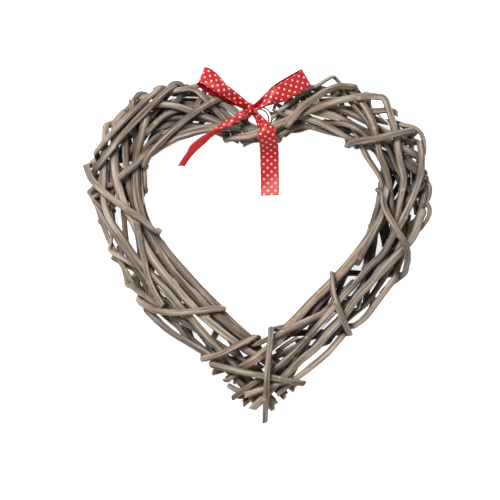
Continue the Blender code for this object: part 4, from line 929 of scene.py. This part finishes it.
def smoothedOver(mesh, values):
    edges = np.empty(len(mesh.edges) * 2, np.int32)
    mesh.edges.foreach_get("vertices", edges)
    first, second = edges[0::2], edges[1::2]
    total, count = values.copy(), np.ones(len(values))
    np.add.at(total, first, values[second])
    np.add.at(total, second, values[first])
    np.add.at(count, first, 1)
    np.add.at(count, second, 1)
    return total / count


markOpenness(shownRods)
print("openness")


# Wires: the heart of wire inside the weave, and the twisted ring that it hangs by
wires = {
    "strandRadius": 0.0007,
    "sides": 10,
    "ringRadius": 0.0108,
    "ringTilt": math.radians(20),
    "ringSteps": 289,
    "apart": 0.2,
    "nested": 0.0004,
    "spikeLength": 0.0065,
    "spikeTurn": math.radians(31),
    "spikeWay": (0.93, 0.36, 0.10),
    "spikeSteps": 44,
    "spikeTurns": 3,
    "spikeSpread": 0.9,
    "spikeBend": 0.0014,
    "spikeBendOver": 2.6,
    "spots": (900.0, 4.0, 0.65),
    "rusting": (0.45, 0.7, 0.0, 0.8),
    "roughSpread": 0.25,
    "metallic": 0.85,
    # colour, rust and roughness
    "dull": ((0.66, 0.65, 0.63, 1.0), (0.30, 0.26, 0.22, 1.0), 0.32),
    "dark": ((0.085, 0.075, 0.07, 1.0), (0.15, 0.085, 0.06, 1.0), 0.45),
}


def wireMaterial(name, colour, rust, roughness):
    material, tree, shader = newMaterial(name)
    place = addNode(tree, "ShaderNodeTexCoord").outputs["Object"]
    spots = noiseOn(tree, place, (1.0, 1.0, 1.0), *wires["spots"])
    rusted = mixColours(tree, remap(tree, spots, *wires["rusting"]), colour, rust)
    tree.links.new(rusted, shader.inputs["Base Color"])
    roughened = remap(tree, spots, 0.3, 0.7, roughness, roughness + wires["roughSpread"])
    tree.links.new(roughened, shader.inputs["Roughness"])
    shader.inputs["Metallic"].default_value = wires["metallic"]
    return material


dullWire = wireMaterial("dull_wire", *wires["dull"])
darkWire = wireMaterial("dark_wire", *wires["dark"])


def onRing(angle, radius):
    lean = np.array((0.0, math.cos(wires["ringTilt"]), math.sin(wires["ringTilt"])))
    return ringCentre + radius * (math.cos(angle) * np.array((1.0, 0.0, 0.0)) + math.sin(angle) * lean)


def addStrand(shell, line):
    # a wire swept along a line by extruding its round end
    radius, sides = wires["strandRadius"], wires["sides"]
    along, sideways, upward = carriedFrames(line)
    previous = bmesh.ops.create_circle(shell, segments=sides, radius=1.0, cap_ends=True)["verts"]
    directions = [(corner.co.x, corner.co.y) for corner in previous]
    for corner, (x, y) in zip(previous, directions):
        corner.co = line[0] + (sideways[0] * x + upward[0] * y) * radius
    for index in range(1, len(line)):
        edges = [shell.edges.get((previous[k], previous[(k + 1) % sides])) for k in range(sides)]
        made = bmesh.ops.extrude_edge_only(shell, edges=edges)["geom"]
        fresh = [item for item in made if isinstance(item, bmesh.types.BMVert)]
        lookup = {tuple(round(value, 7) for value in corner.co): corner for corner in fresh}
        previous = [lookup[tuple(round(value, 7) for value in corner.co)] for corner in previous]
        for corner, (x, y) in zip(previous, directions):
            corner.co = line[index] + (sideways[index] * x + upward[index] * y) * radius
    shell.faces.new(previous)


def hangingRing():
    shell = bmesh.new()
    radius = wires["strandRadius"]
    lift = np.array((0.0, -math.sin(wires["ringTilt"]), math.cos(wires["ringTilt"])))
    for strand in (0, 1):
        # two turns of wire that lie together at the left and stand apart at the right
        line = []
        for angle in np.linspace(0, math.tau, wires["ringSteps"]):
            apart = (0.5 + 0.5 * math.cos(angle)) * strand
            reach = wires["ringRadius"] * (1 - wires["apart"] * apart) - wires["nested"] * strand
            line.append(onRing(angle, reach) + lift * radius * (2 * strand - 1))
        addStrand(shell, np.array(line))
    # the twisted ends of the wire stand off to the upper right
    start = onRing(wires["spikeTurn"], wires["ringRadius"])
    direction = unit(np.array(wires["spikeWay"]))
    side = unit(np.cross(direction, (0.0, 0.0, 1.0)))
    up = np.cross(side, direction)
    spread = radius * wires["spikeSpread"]
    for strand in (0.0, math.pi):
        line = []
        for share in np.linspace(0, 1, wires["spikeSteps"]):
            turn = share * math.tau * wires["spikeTurns"] + strand
            bend = wires["spikeBend"] * math.sin(share * wires["spikeBendOver"])
            line.append(start + direction * (share * wires["spikeLength"])
                        + side * (math.cos(turn) * spread + bend) + up * (math.sin(turn) * spread))
        addStrand(shell, np.array(line))
    bmesh.ops.remove_doubles(shell, verts=shell.verts, dist=weldWithin)
    bmesh.ops.recalc_face_normals(shell, faces=shell.faces)
    return asObject("twisted_ring", shell, [darkWire])


ring = hangingRing()
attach(ring, "root")
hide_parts("hanging_ring")


def heartWire():
    shell = bmesh.new()
    shell.from_mesh(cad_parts["frame_wire"].data)
    bmesh.ops.remove_doubles(shell, verts=shell.verts, dist=frameWeldWithin)
    bmesh.ops.join_triangles(shell, faces=shell.faces, angle_face_threshold=0.3,
                             angle_shape_threshold=3.1)
    piece = asObject("heart_wire", shell, [dullWire])
    rounding = piece.modifiers.new("rounding", "SUBSURF")
    rounding.levels = 1
    rounding.render_levels = 1
    return piece


innerWire = heartWire()
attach(innerWire, "root")
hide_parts("frame_wire")
print("wires")


# Ribbon: one strip tied round the ring, with its spots on the right side only
ribbon = {
    "width": 0.0166,
    "thickness": 0.00035,
    "step": 0.0011,
    "lanes": 16,
    "gathered": 0.38,
    "mostCurl": math.radians(150),
    "leastCurl": 0.02,
    "mostPleat": 0.0032,
    "probed": (-0.5, -0.36, -0.18, 0.0, 0.18, 0.36, 0.5),
    # the loops and tails start in the knot and are free to lie higher after the first few millimetres
    "free": (0.004, 0.006),
    "knotOnRing": math.radians(128),
    "startAbove": 0.0017,
    "knot": {"above": 0.0012, "tilt": math.radians(-12), "down": 0.0046, "up": 0.0048, "gathered": 0.56,
             "steps": 49},
    "loops": ({"length": 0.0542, "turn": math.radians(146.4), "roll": math.radians(22), "wideFrom": 0.049,
               "skew": -0.21},
              {"length": 0.0562, "turn": math.radians(30.6), "roll": math.radians(12), "wideFrom": 0.031,
               "skew": 0.0}),
    "narrowUntil": 0.003,
    "loopEnds": 0.25,
    "loopHalfHeight": 0.0084,
    "loopLeast": 0.0012,
    "loopFullness": 0.8,
    "loopSteps": 111,
    "loopEasing": 30,
    "sag": 0.005,
    "sagging": ((0.0, 0.3, 0.8, 1.0), (0.0, 1.0, 1.0, 0.2)),
    "loopClear": 0.0008,
    "archOver": 0.002,
    "tailGather": (0.004, 0.026),
    "tailClear": 0.0016,
    "tailEasing": 40,
    "tailSpread": 4,
    # how much of the strip's width is held clear of the rods, flat or rolled up
    "covered": (1.06, 0.6),
    "tailTwist": {"most": math.radians(14), "from": 0.70, "over": 0.22},
    "tailLift": {"from": 0.72, "over": 0.28, "high": 0.005},
    "rightTail": ((0.0, 0.0), (0.0060, -0.0070), (0.0113, -0.0170), (0.0144, -0.0290),
                  (0.0156, -0.0520), (0.0159, -0.0760)),
    "leftTail": ((0.0, 0.0), (-0.0078, -0.0052), (-0.0198, -0.0119), (-0.0313, -0.0181),
                 (-0.0402, -0.0234), (-0.0509, -0.0335), (-0.0580, -0.0422), (-0.0628, -0.0503)),
    # along the left tail: how far it is curled up across its width, and how far it is tipped on its edge
    "leftCurl": ((0.0, 0.10, 0.30, 0.37, 0.46, 0.60, 0.80, 1.0), (90, 190, 180, 150, 80, 50, 45, 45)),
    "leftRoll": ((0.0, 0.10, 0.30, 0.37, 0.46, 0.60, 0.80, 1.0), (45, 70, 80, 95, 104, 104, 106, 107)),
    "leftEasing": 12,
    "leftHangs": 0.8,
    "leftGather": (0.62, 0.020),
    "leftBeside": ((0.25, 0.55, 1.0), (0.003, 0.0004, 0.0020)),
    "droop": 0.012,
    "ribs": 0.00048,
    "threads": 0.00030,
    "spotStart": 0.0031,
    "spotRadius": 0.00094,
    "spotEdge": (0.82, 1.10),
    "spotAcross": 0.00344,
    "spotAlong": 0.0068,
    "red": (0.296, 0.0066, 0.0104, 1.0),
    # the plain back, in two tones: lighter on the left tail as painted light, and darker inside the loops as
    # painted shade
    "tailBackPaintedLight": (0.53, 0.035, 0.034, 1.0),
    "loopBackPaintedShade": (0.15, 0.004, 0.006, 1.0),
    "tailBackEnd": 0.102,
    "white": (0.50, 0.36, 0.31, 1.0),
    "blotches": (220.0, 2.0),
    "darker": 0.72,
    "weaveRelief": (0.7, 0.3),
    "weaveShade": (0.86, 1.06),
    "bump": (0.35, 0.00006),
    "face": {"shade": 0.5, "roughness": 0.36, "specular": 0.45, "sheen": 0.08},
    "back": {"shade": 0.12, "roughness": 0.9, "specular": 0.05, "sheen": 0.0},
    "specularTint": (1.0, 0.62, 0.55, 1.0),
    "sheenTint": (1.0, 0.45, 0.38, 1.0),
    "sheenRoughness": 0.35,
}


def spotDistance(tree, run, across):
    # how far a place is from the middle of the nearest spot; every other column is set half a row on
    def work(operation, first, second=None):
        return worked(tree, operation, first, second)
    column = work("DIVIDE", work("SUBTRACT", across, ribbon["spotStart"]), ribbon["spotAcross"])
    nearColumn = work("ROUND", column)
    odd = work("MULTIPLY", work("MODULO", work("ABSOLUTE", nearColumn), 2.0), 0.5)
    row = work("ADD", work("DIVIDE", run, ribbon["spotAlong"]), odd)
    aside = work("MULTIPLY", work("SUBTRACT", column, nearColumn), ribbon["spotAcross"])
    ahead = work("MULTIPLY", work("SUBTRACT", row, work("ROUND", row)), ribbon["spotAlong"])
    return work("SQRT", work("ADD", work("MULTIPLY", aside, aside), work("MULTIPLY", ahead, ahead)))


def ribbonMaterial(name, spotted):
    material, tree, shader = newMaterial(name)
    look = ribbon["face" if spotted else "back"]
    split = addNode(tree, "ShaderNodeSeparateXYZ")
    tree.links.new(addNode(tree, "ShaderNodeUVMap", uv_map="ribbonFlat").outputs[0], split.inputs[0])
    run, across = split.outputs[0], split.outputs[1]
    place = addNode(tree, "ShaderNodeTexCoord").outputs["Object"]
    soft = noiseOn(tree, place, (1.0, 1.0, 1.0), *ribbon["blotches"])
    if spotted:
        base = deep = ribbon["red"]
    else:
        # the back is painted lighter on the tail and darker in the loops: painted light and painted shade
        deep = ribbon["loopBackPaintedShade"]
        inLoops = remap(tree, run, ribbon["tailBackEnd"], ribbon["tailBackEnd"] + 0.001, 0.0, 1.0)
        base = mixColours(tree, inLoops, ribbon["tailBackPaintedLight"], deep)
    darkest = (*(value * ribbon["darker"] for value in deep[:3]), 1.0)
    colour = mixColours(tree, remap(tree, soft, 0.3, 0.75, 0.0, look["shade"]), base, darkest)
    if spotted:
        small, big = (ribbon["spotRadius"] * share for share in ribbon["spotEdge"])
        inside = remap(tree, spotDistance(tree, run, across), small, big, 1.0, 0.0)
        colour = mixColours(tree, inside, colour, ribbon["white"])
    # fine ribs across the strip and threads along it
    ribs = worked(tree, "SINE", worked(tree, "MULTIPLY", run, math.tau / ribbon["ribs"]))
    threads = worked(tree, "SINE", worked(tree, "MULTIPLY", across, math.tau / ribbon["threads"]))
    heights = [worked(tree, "MULTIPLY", wave, share)
               for wave, share in zip((ribs, threads), ribbon["weaveRelief"])]
    weave = worked(tree, "ADD", *heights)
    lit = addNode(tree, "ShaderNodeVectorMath", operation="SCALE")
    tree.links.new(colour, lit.inputs[0])
    tree.links.new(remap(tree, weave, -1.0, 1.0, *ribbon["weaveShade"]), lit.inputs["Scale"])
    tree.links.new(lit.outputs[0], shader.inputs["Base Color"])
    shader.inputs["Roughness"].default_value = look["roughness"]
    shader.inputs["Specular IOR Level"].default_value = look["specular"]
    shader.inputs["Specular Tint"].default_value = ribbon["specularTint"]
    shader.inputs["Sheen Weight"].default_value = look["sheen"]
    shader.inputs["Sheen Roughness"].default_value = ribbon["sheenRoughness"]
    shader.inputs["Sheen Tint"].default_value = ribbon["sheenTint"]
    addBump(tree, shader, weave, *ribbon["bump"])
    return material


def gatherShare(runs, reach):
    share = np.clip((runs - reach[0]) / (reach[1] - reach[0]), 0.0, 1.0)
    share = share * share * (3 - 2 * share)
    return ribbon["gathered"] + (1 - ribbon["gathered"]) * share


def splitGather(shares):
    # a mild gather curls the strip downwards at its edges, a strong one also pleats it
    halves = np.linspace(1e-3, ribbon["mostCurl"] / 2, 60)
    narrowed = np.sin(halves) / halves
    curls = 2 * np.interp(-np.asarray(shares), -narrowed, halves)
    return np.minimum(1.0, np.asarray(shares) / narrowed[-1]), np.maximum(curls, ribbon["leastCurl"])


def pleatHeights(shares, folds):
    # how high the pleats stand so that the strip keeps its full width when it is gathered
    sample = np.linspace(-0.5, 0.5, 241)
    heights = np.linspace(0.0, ribbon["mostPleat"], 65)
    waves = [height * np.sin(math.tau * folds * sample) for height in heights]
    made = []
    for share in shares:
        widths = [np.hypot(np.diff(sample * share * ribbon["width"]), np.diff(wave)).sum() for wave in waves]
        made.append(np.interp(ribbon["width"], widths, heights))
    return np.array(made)


def addStrip(shell, centres, across, shares, curls, folds, start):
    # one length of ribbon laid along a line, narrowed, curled and pleated; UVs are its flat place in metres
    along = unit(np.gradient(centres, axis=0))
    across = unit(across - along * (across * along).sum(axis=1)[:, None])
    normal = np.cross(along, across)
    heights = pleatHeights(shares, folds)
    runs = runsAlong(centres)
    last, lanes = len(centres) - 1, ribbon["lanes"]
    patch = bmesh.new()
    bmesh.ops.create_grid(patch, x_segments=last, y_segments=lanes, size=1.0)
    flat = patch.loops.layers.uv.new("ribbonFlat")
    for face in patch.faces:
        for loop in face.loops:
            index = int(round((loop.vert.co.x + 1) / 2 * last))
            loop[flat].uv = (start + runs[index], (loop.vert.co.y + 1) / 2 * ribbon["width"])
    for corner in patch.verts:
        index = int(round((corner.co.x + 1) / 2 * last))
        lane = corner.co.y / 2
        turn = lane * curls[index]
        radius = ribbon["width"] * shares[index] / curls[index]
        wave = heights[index] * math.sin(math.tau * folds * lane) + radius * (math.cos(turn) - 1)
        corner.co = centres[index] + across[index] * (radius * math.sin(turn)) + normal[index] * wave
    mesh = bpy.data.meshes.new("strip")
    patch.to_mesh(mesh)
    patch.free()
    shell.from_mesh(mesh)
    bpy.data.meshes.remove(mesh)
    return runs[-1]


def rodsBelow():
    shell = bmesh.new()
    for piece in shownRods + [ring]:
        shell.from_mesh(piece.data)
    tree = BVHTree.FromBMesh(shell)
    shell.free()
    return tree


def clearHeights(surface, centres, across, widths, gap):
    # the lowest a strip can lie at each place and still clear the rods and the ring
    needed = np.full(len(centres), -1.0)
    for index, (centre, side, width) in enumerate(zip(centres, across, widths)):
        for lane in ribbon["probed"]:
            place = centre + side * lane * width
            hit = surface.ray_cast(Vector((place[0], place[1], 0.3)), Vector((0, 0, -1)))[0]
            if hit is not None:
                needed[index] = max(needed[index], hit.z + gap - side[2] * lane * width)
    return needed


def eased(values, rounds):
    for _ in range(rounds):
        padded = np.concatenate((values[:1], values, values[-1:]))
        values = (padded[:-2] + 2 * padded[1:-1] + padded[2:]) / 4
    return values


def freeAfterKnot(runs):
    return np.clip((runs - ribbon["free"][0]) / ribbon["free"][1], 0, 1)


def loopStrip(surface, shell, settings, knot, start, folds):
    turn, roll, length = settings["turn"], settings["roll"], settings["length"]
    out = np.array((math.cos(turn), math.sin(turn), 0.0))
    flat = np.array((-out[1], out[0], 0.0))
    up = np.array((0.0, 0.0, 1.0))
    across = math.cos(roll) * flat + math.sin(roll) * up
    rise = math.cos(roll) * up - math.sin(roll) * flat
    # seen from the side: out below, round the far end and back above
    ends, least, fullness = ribbon["loopEnds"], ribbon["loopLeast"], ribbon["loopFullness"]
    angles = np.linspace(-math.pi + ends, math.pi - ends, ribbon["loopSteps"])
    share = (1 + np.cos(angles)) / 2
    tall = least + (ribbon["loopHalfHeight"] - least) * share ** fullness
    heights = np.sign(angles) * np.abs(np.sin(angles)) ** fullness * tall
    centres = knot + (share * length)[:, None] * out + heights[:, None] * rise
    gathering = (ribbon["narrowUntil"], settings["wideFrom"])
    shares = gatherShare(share * length, gathering)
    sides = np.tile(across + out * settings["skew"], (len(centres), 1))
    # the lower half sags as far as the rods and the ring under it allow
    runs = np.arange(0.0, length, ribbon["step"])
    sagging = np.interp(runs / length, *ribbon["sagging"]) * ribbon["sag"]
    beneath = knot + runs[:, None] * out - sagging[:, None] * rise
    below = clearHeights(surface, beneath, np.tile(across, (len(runs), 1)),
                         ribbon["width"] * gatherShare(runs, gathering), ribbon["loopClear"])
    lift = np.maximum(0.0, below - beneath[:, 2])
    lift = eased(np.maximum.accumulate(lift), ribbon["loopEasing"]) * freeAfterKnot(runs)
    centres[:, 2] += np.interp(share * length, runs, lift)
    # only the upper half is arched, so that its lip stands open
    pleated, curls = splitGather(shares)
    upper = np.clip(0.5 + heights / ribbon["archOver"], 0, 1)
    curls = ribbon["leastCurl"] + (curls - ribbon["leastCurl"]) * upper
    return addStrip(shell, centres, -sides, shares + (pleated - shares) * upper, curls, folds, start)


def tailStrip(surface, shell, stops, knot, start, folds, rolled=False):
    # a tail laid over the rods: flat with its end standing up a little, or rolled up and tipped on its edge
    plan = smoothLine(np.array(stops), ribbon["step"])
    runs = runsAlong(plan)
    share = runs / runs[-1]
    along = unit(np.gradient(plan, axis=0))
    flat = np.column_stack((-along[:, 1], along[:, 0], np.zeros(len(plan))))
    up = np.tile((0.0, 0.0, 1.0), (len(plan), 1))
    if rolled:
        rolls = eased(np.radians(np.interp(share, *ribbon["leftRoll"])), ribbon["leftEasing"])
        curls = eased(np.radians(np.interp(share, *ribbon["leftCurl"])), ribbon["leftEasing"])
        least, over = ribbon["leftGather"]
        shares = pleated = np.clip(least + runs / over, 0, 1)
        halfChord = ribbon["width"] / curls * np.sin(curls / 2)
        below = halfChord * np.abs(np.sin(rolls)) * shares * ribbon["leftHangs"]
        endLift = 0.0
    else:
        shares = gatherShare(runs, ribbon["tailGather"])
        pleated, curls = splitGather(shares)
        twist = ribbon["tailTwist"]
        rolls = twist["most"] * np.clip((share - twist["from"]) / twist["over"], 0, 1)
        below = np.zeros(len(plan))
        endLift = ribbon["tailLift"]["high"]
    across = flat * np.cos(rolls)[:, None] + up * np.sin(rolls)[:, None]
    rising = np.clip((share - ribbon["tailLift"]["from"]) / ribbon["tailLift"]["over"], 0, 1)
    centres = knot + np.column_stack((plan, -ribbon["droop"] * share ** 2 + endLift * rising ** 2))
    widths = ribbon["width"] * shares * ribbon["covered"][int(rolled)]
    needed = clearHeights(surface, centres, flat, widths, ribbon["tailClear"])
    lift = np.maximum(0.0, needed + below - centres[:, 2])
    reach = ribbon["tailSpread"]
    spread = np.array([lift[max(0, k - reach):k + reach + 1].max() for k in range(len(lift))])
    centres[:, 2] += eased(spread, ribbon["tailEasing"]) * freeAfterKnot(runs)
    if rolled:
        # the line that is followed is the middle of what is seen from above, not the fold
        centres[:, :2] -= flat[:, :2] * np.interp(share, *ribbon["leftBeside"])[:, None]
    return addStrip(shell, centres, across, pleated, curls, folds, start)


def knotStrip(shell, middle, start):
    # the strip wraps once round everything, crowned in the middle
    knot = ribbon["knot"]
    tilt = knot["tilt"]
    across = np.array((math.cos(tilt), math.sin(tilt), 0.0))
    down = np.array((math.sin(tilt), -math.cos(tilt), 0.0))
    up = np.array((0.0, 0.0, 1.0))
    angles = np.linspace(0, math.tau, knot["steps"])
    centres = (middle + knot["down"] * np.cos(angles)[:, None] * down
               + knot["up"] * np.sin(angles)[:, None] * up)
    pleated, curls = splitGather(np.full(len(angles), knot["gathered"]))
    return addStrip(shell, centres, np.tile(-across, (len(angles), 1)), pleated, curls, 1.0, start)


def tieBow():
    surface = rodsBelow()
    knot = onRing(ribbon["knotOnRing"], wires["ringRadius"])
    start = knot + (0.0, 0.0, ribbon["startAbove"])
    shell = bmesh.new()
    used = tailStrip(surface, shell, ribbon["leftTail"], start, 0.0, 1.5, rolled=True)
    for settings in ribbon["loops"]:
        used += loopStrip(surface, shell, settings, start, used, 1.0)
    used += tailStrip(surface, shell, ribbon["rightTail"], start, used, 1.5)
    used += knotStrip(shell, knot + (0.0, 0.0, ribbon["knot"]["above"]), used)
    piece = asObject("spotted_ribbon", shell, [ribbonMaterial("spotted_ribbon_face", True),
                                               ribbonMaterial("plain_ribbon_back", False)])
    thickness = piece.modifiers.new("thickness", "SOLIDIFY")
    thickness.thickness = ribbon["thickness"]
    thickness.offset = 0.0
    thickness.material_offset = 1
    thickness.material_offset_rim = 1
    return piece, used


bow, bowLength = tieBow()
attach(bow, "root")
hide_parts("ribbon_bow")
print("ribbon", round(bowLength, 3))


# Pale floor, soft light and the camera straight above
studio = {
    "distance": 2.0,
    "sensor": 36.0,
    "span": 0.444,
    "centre": (-0.0077, -0.0032),
    "middleHeight": 0.030,
    "white": (1.0, 1.0, 1.0, 1.0),
    "floor": (0.90, 0.90, 0.89, 1.0),
    "floorHalfWidth": 3.0,
    "floorRoughness": 0.9,
    "floorGlow": 0.72,
    "ambient": 0.55,
    "key": {"place": (-0.50, 0.60, 1.36), "size": 0.50, "power": 42.0},
    "fill": {"place": (0.9, -0.5, 1.1), "size": 1.2, "power": 4.0},
}


def setStudio():
    shell = bmesh.new()
    bmesh.ops.create_grid(shell, x_segments=1, y_segments=1, size=studio["floorHalfWidth"])
    material, tree, shader = newMaterial("pale_floor")
    shader.inputs["Base Color"].default_value = studio["floor"]
    shader.inputs["Roughness"].default_value = studio["floorRoughness"]
    shader.inputs["Emission Color"].default_value = studio["white"]
    shader.inputs["Emission Strength"].default_value = studio["floorGlow"]
    floor = asObject("floor", shell, [material], smooth=False)
    world = bpy.data.worlds.new("studio")
    bpy.context.scene.world = world
    world.use_nodes = True
    background = world.node_tree.nodes["Background"]
    background.inputs[0].default_value = studio["white"]
    background.inputs[1].default_value = studio["ambient"]
    for name in ("key", "fill"):
        light = bpy.data.lights.new(name, "AREA")
        light.shape = "DISK"
        light.size = studio[name]["size"]
        light.energy = studio[name]["power"]
        lamp = bpy.data.objects.new(name, light)
        bpy.context.scene.collection.objects.link(lamp)
        lamp.location = studio[name]["place"]
        lamp.rotation_euler = (-lamp.location).to_track_quat("-Z", "Y").to_euler()
    lens = bpy.data.cameras.new("camera")
    lens.sensor_width = studio["sensor"]
    lens.lens = studio["sensor"] * (studio["distance"] - studio["middleHeight"]) / studio["span"]
    camera = bpy.data.objects.new("camera", lens)
    bpy.context.scene.collection.objects.link(camera)
    camera.location = (*studio["centre"], studio["distance"])
    lens.clip_end = 20.0
    bpy.context.scene.camera = camera
    bpy.context.scene.view_settings.view_transform = "Standard"


setStudio()
print("studio")
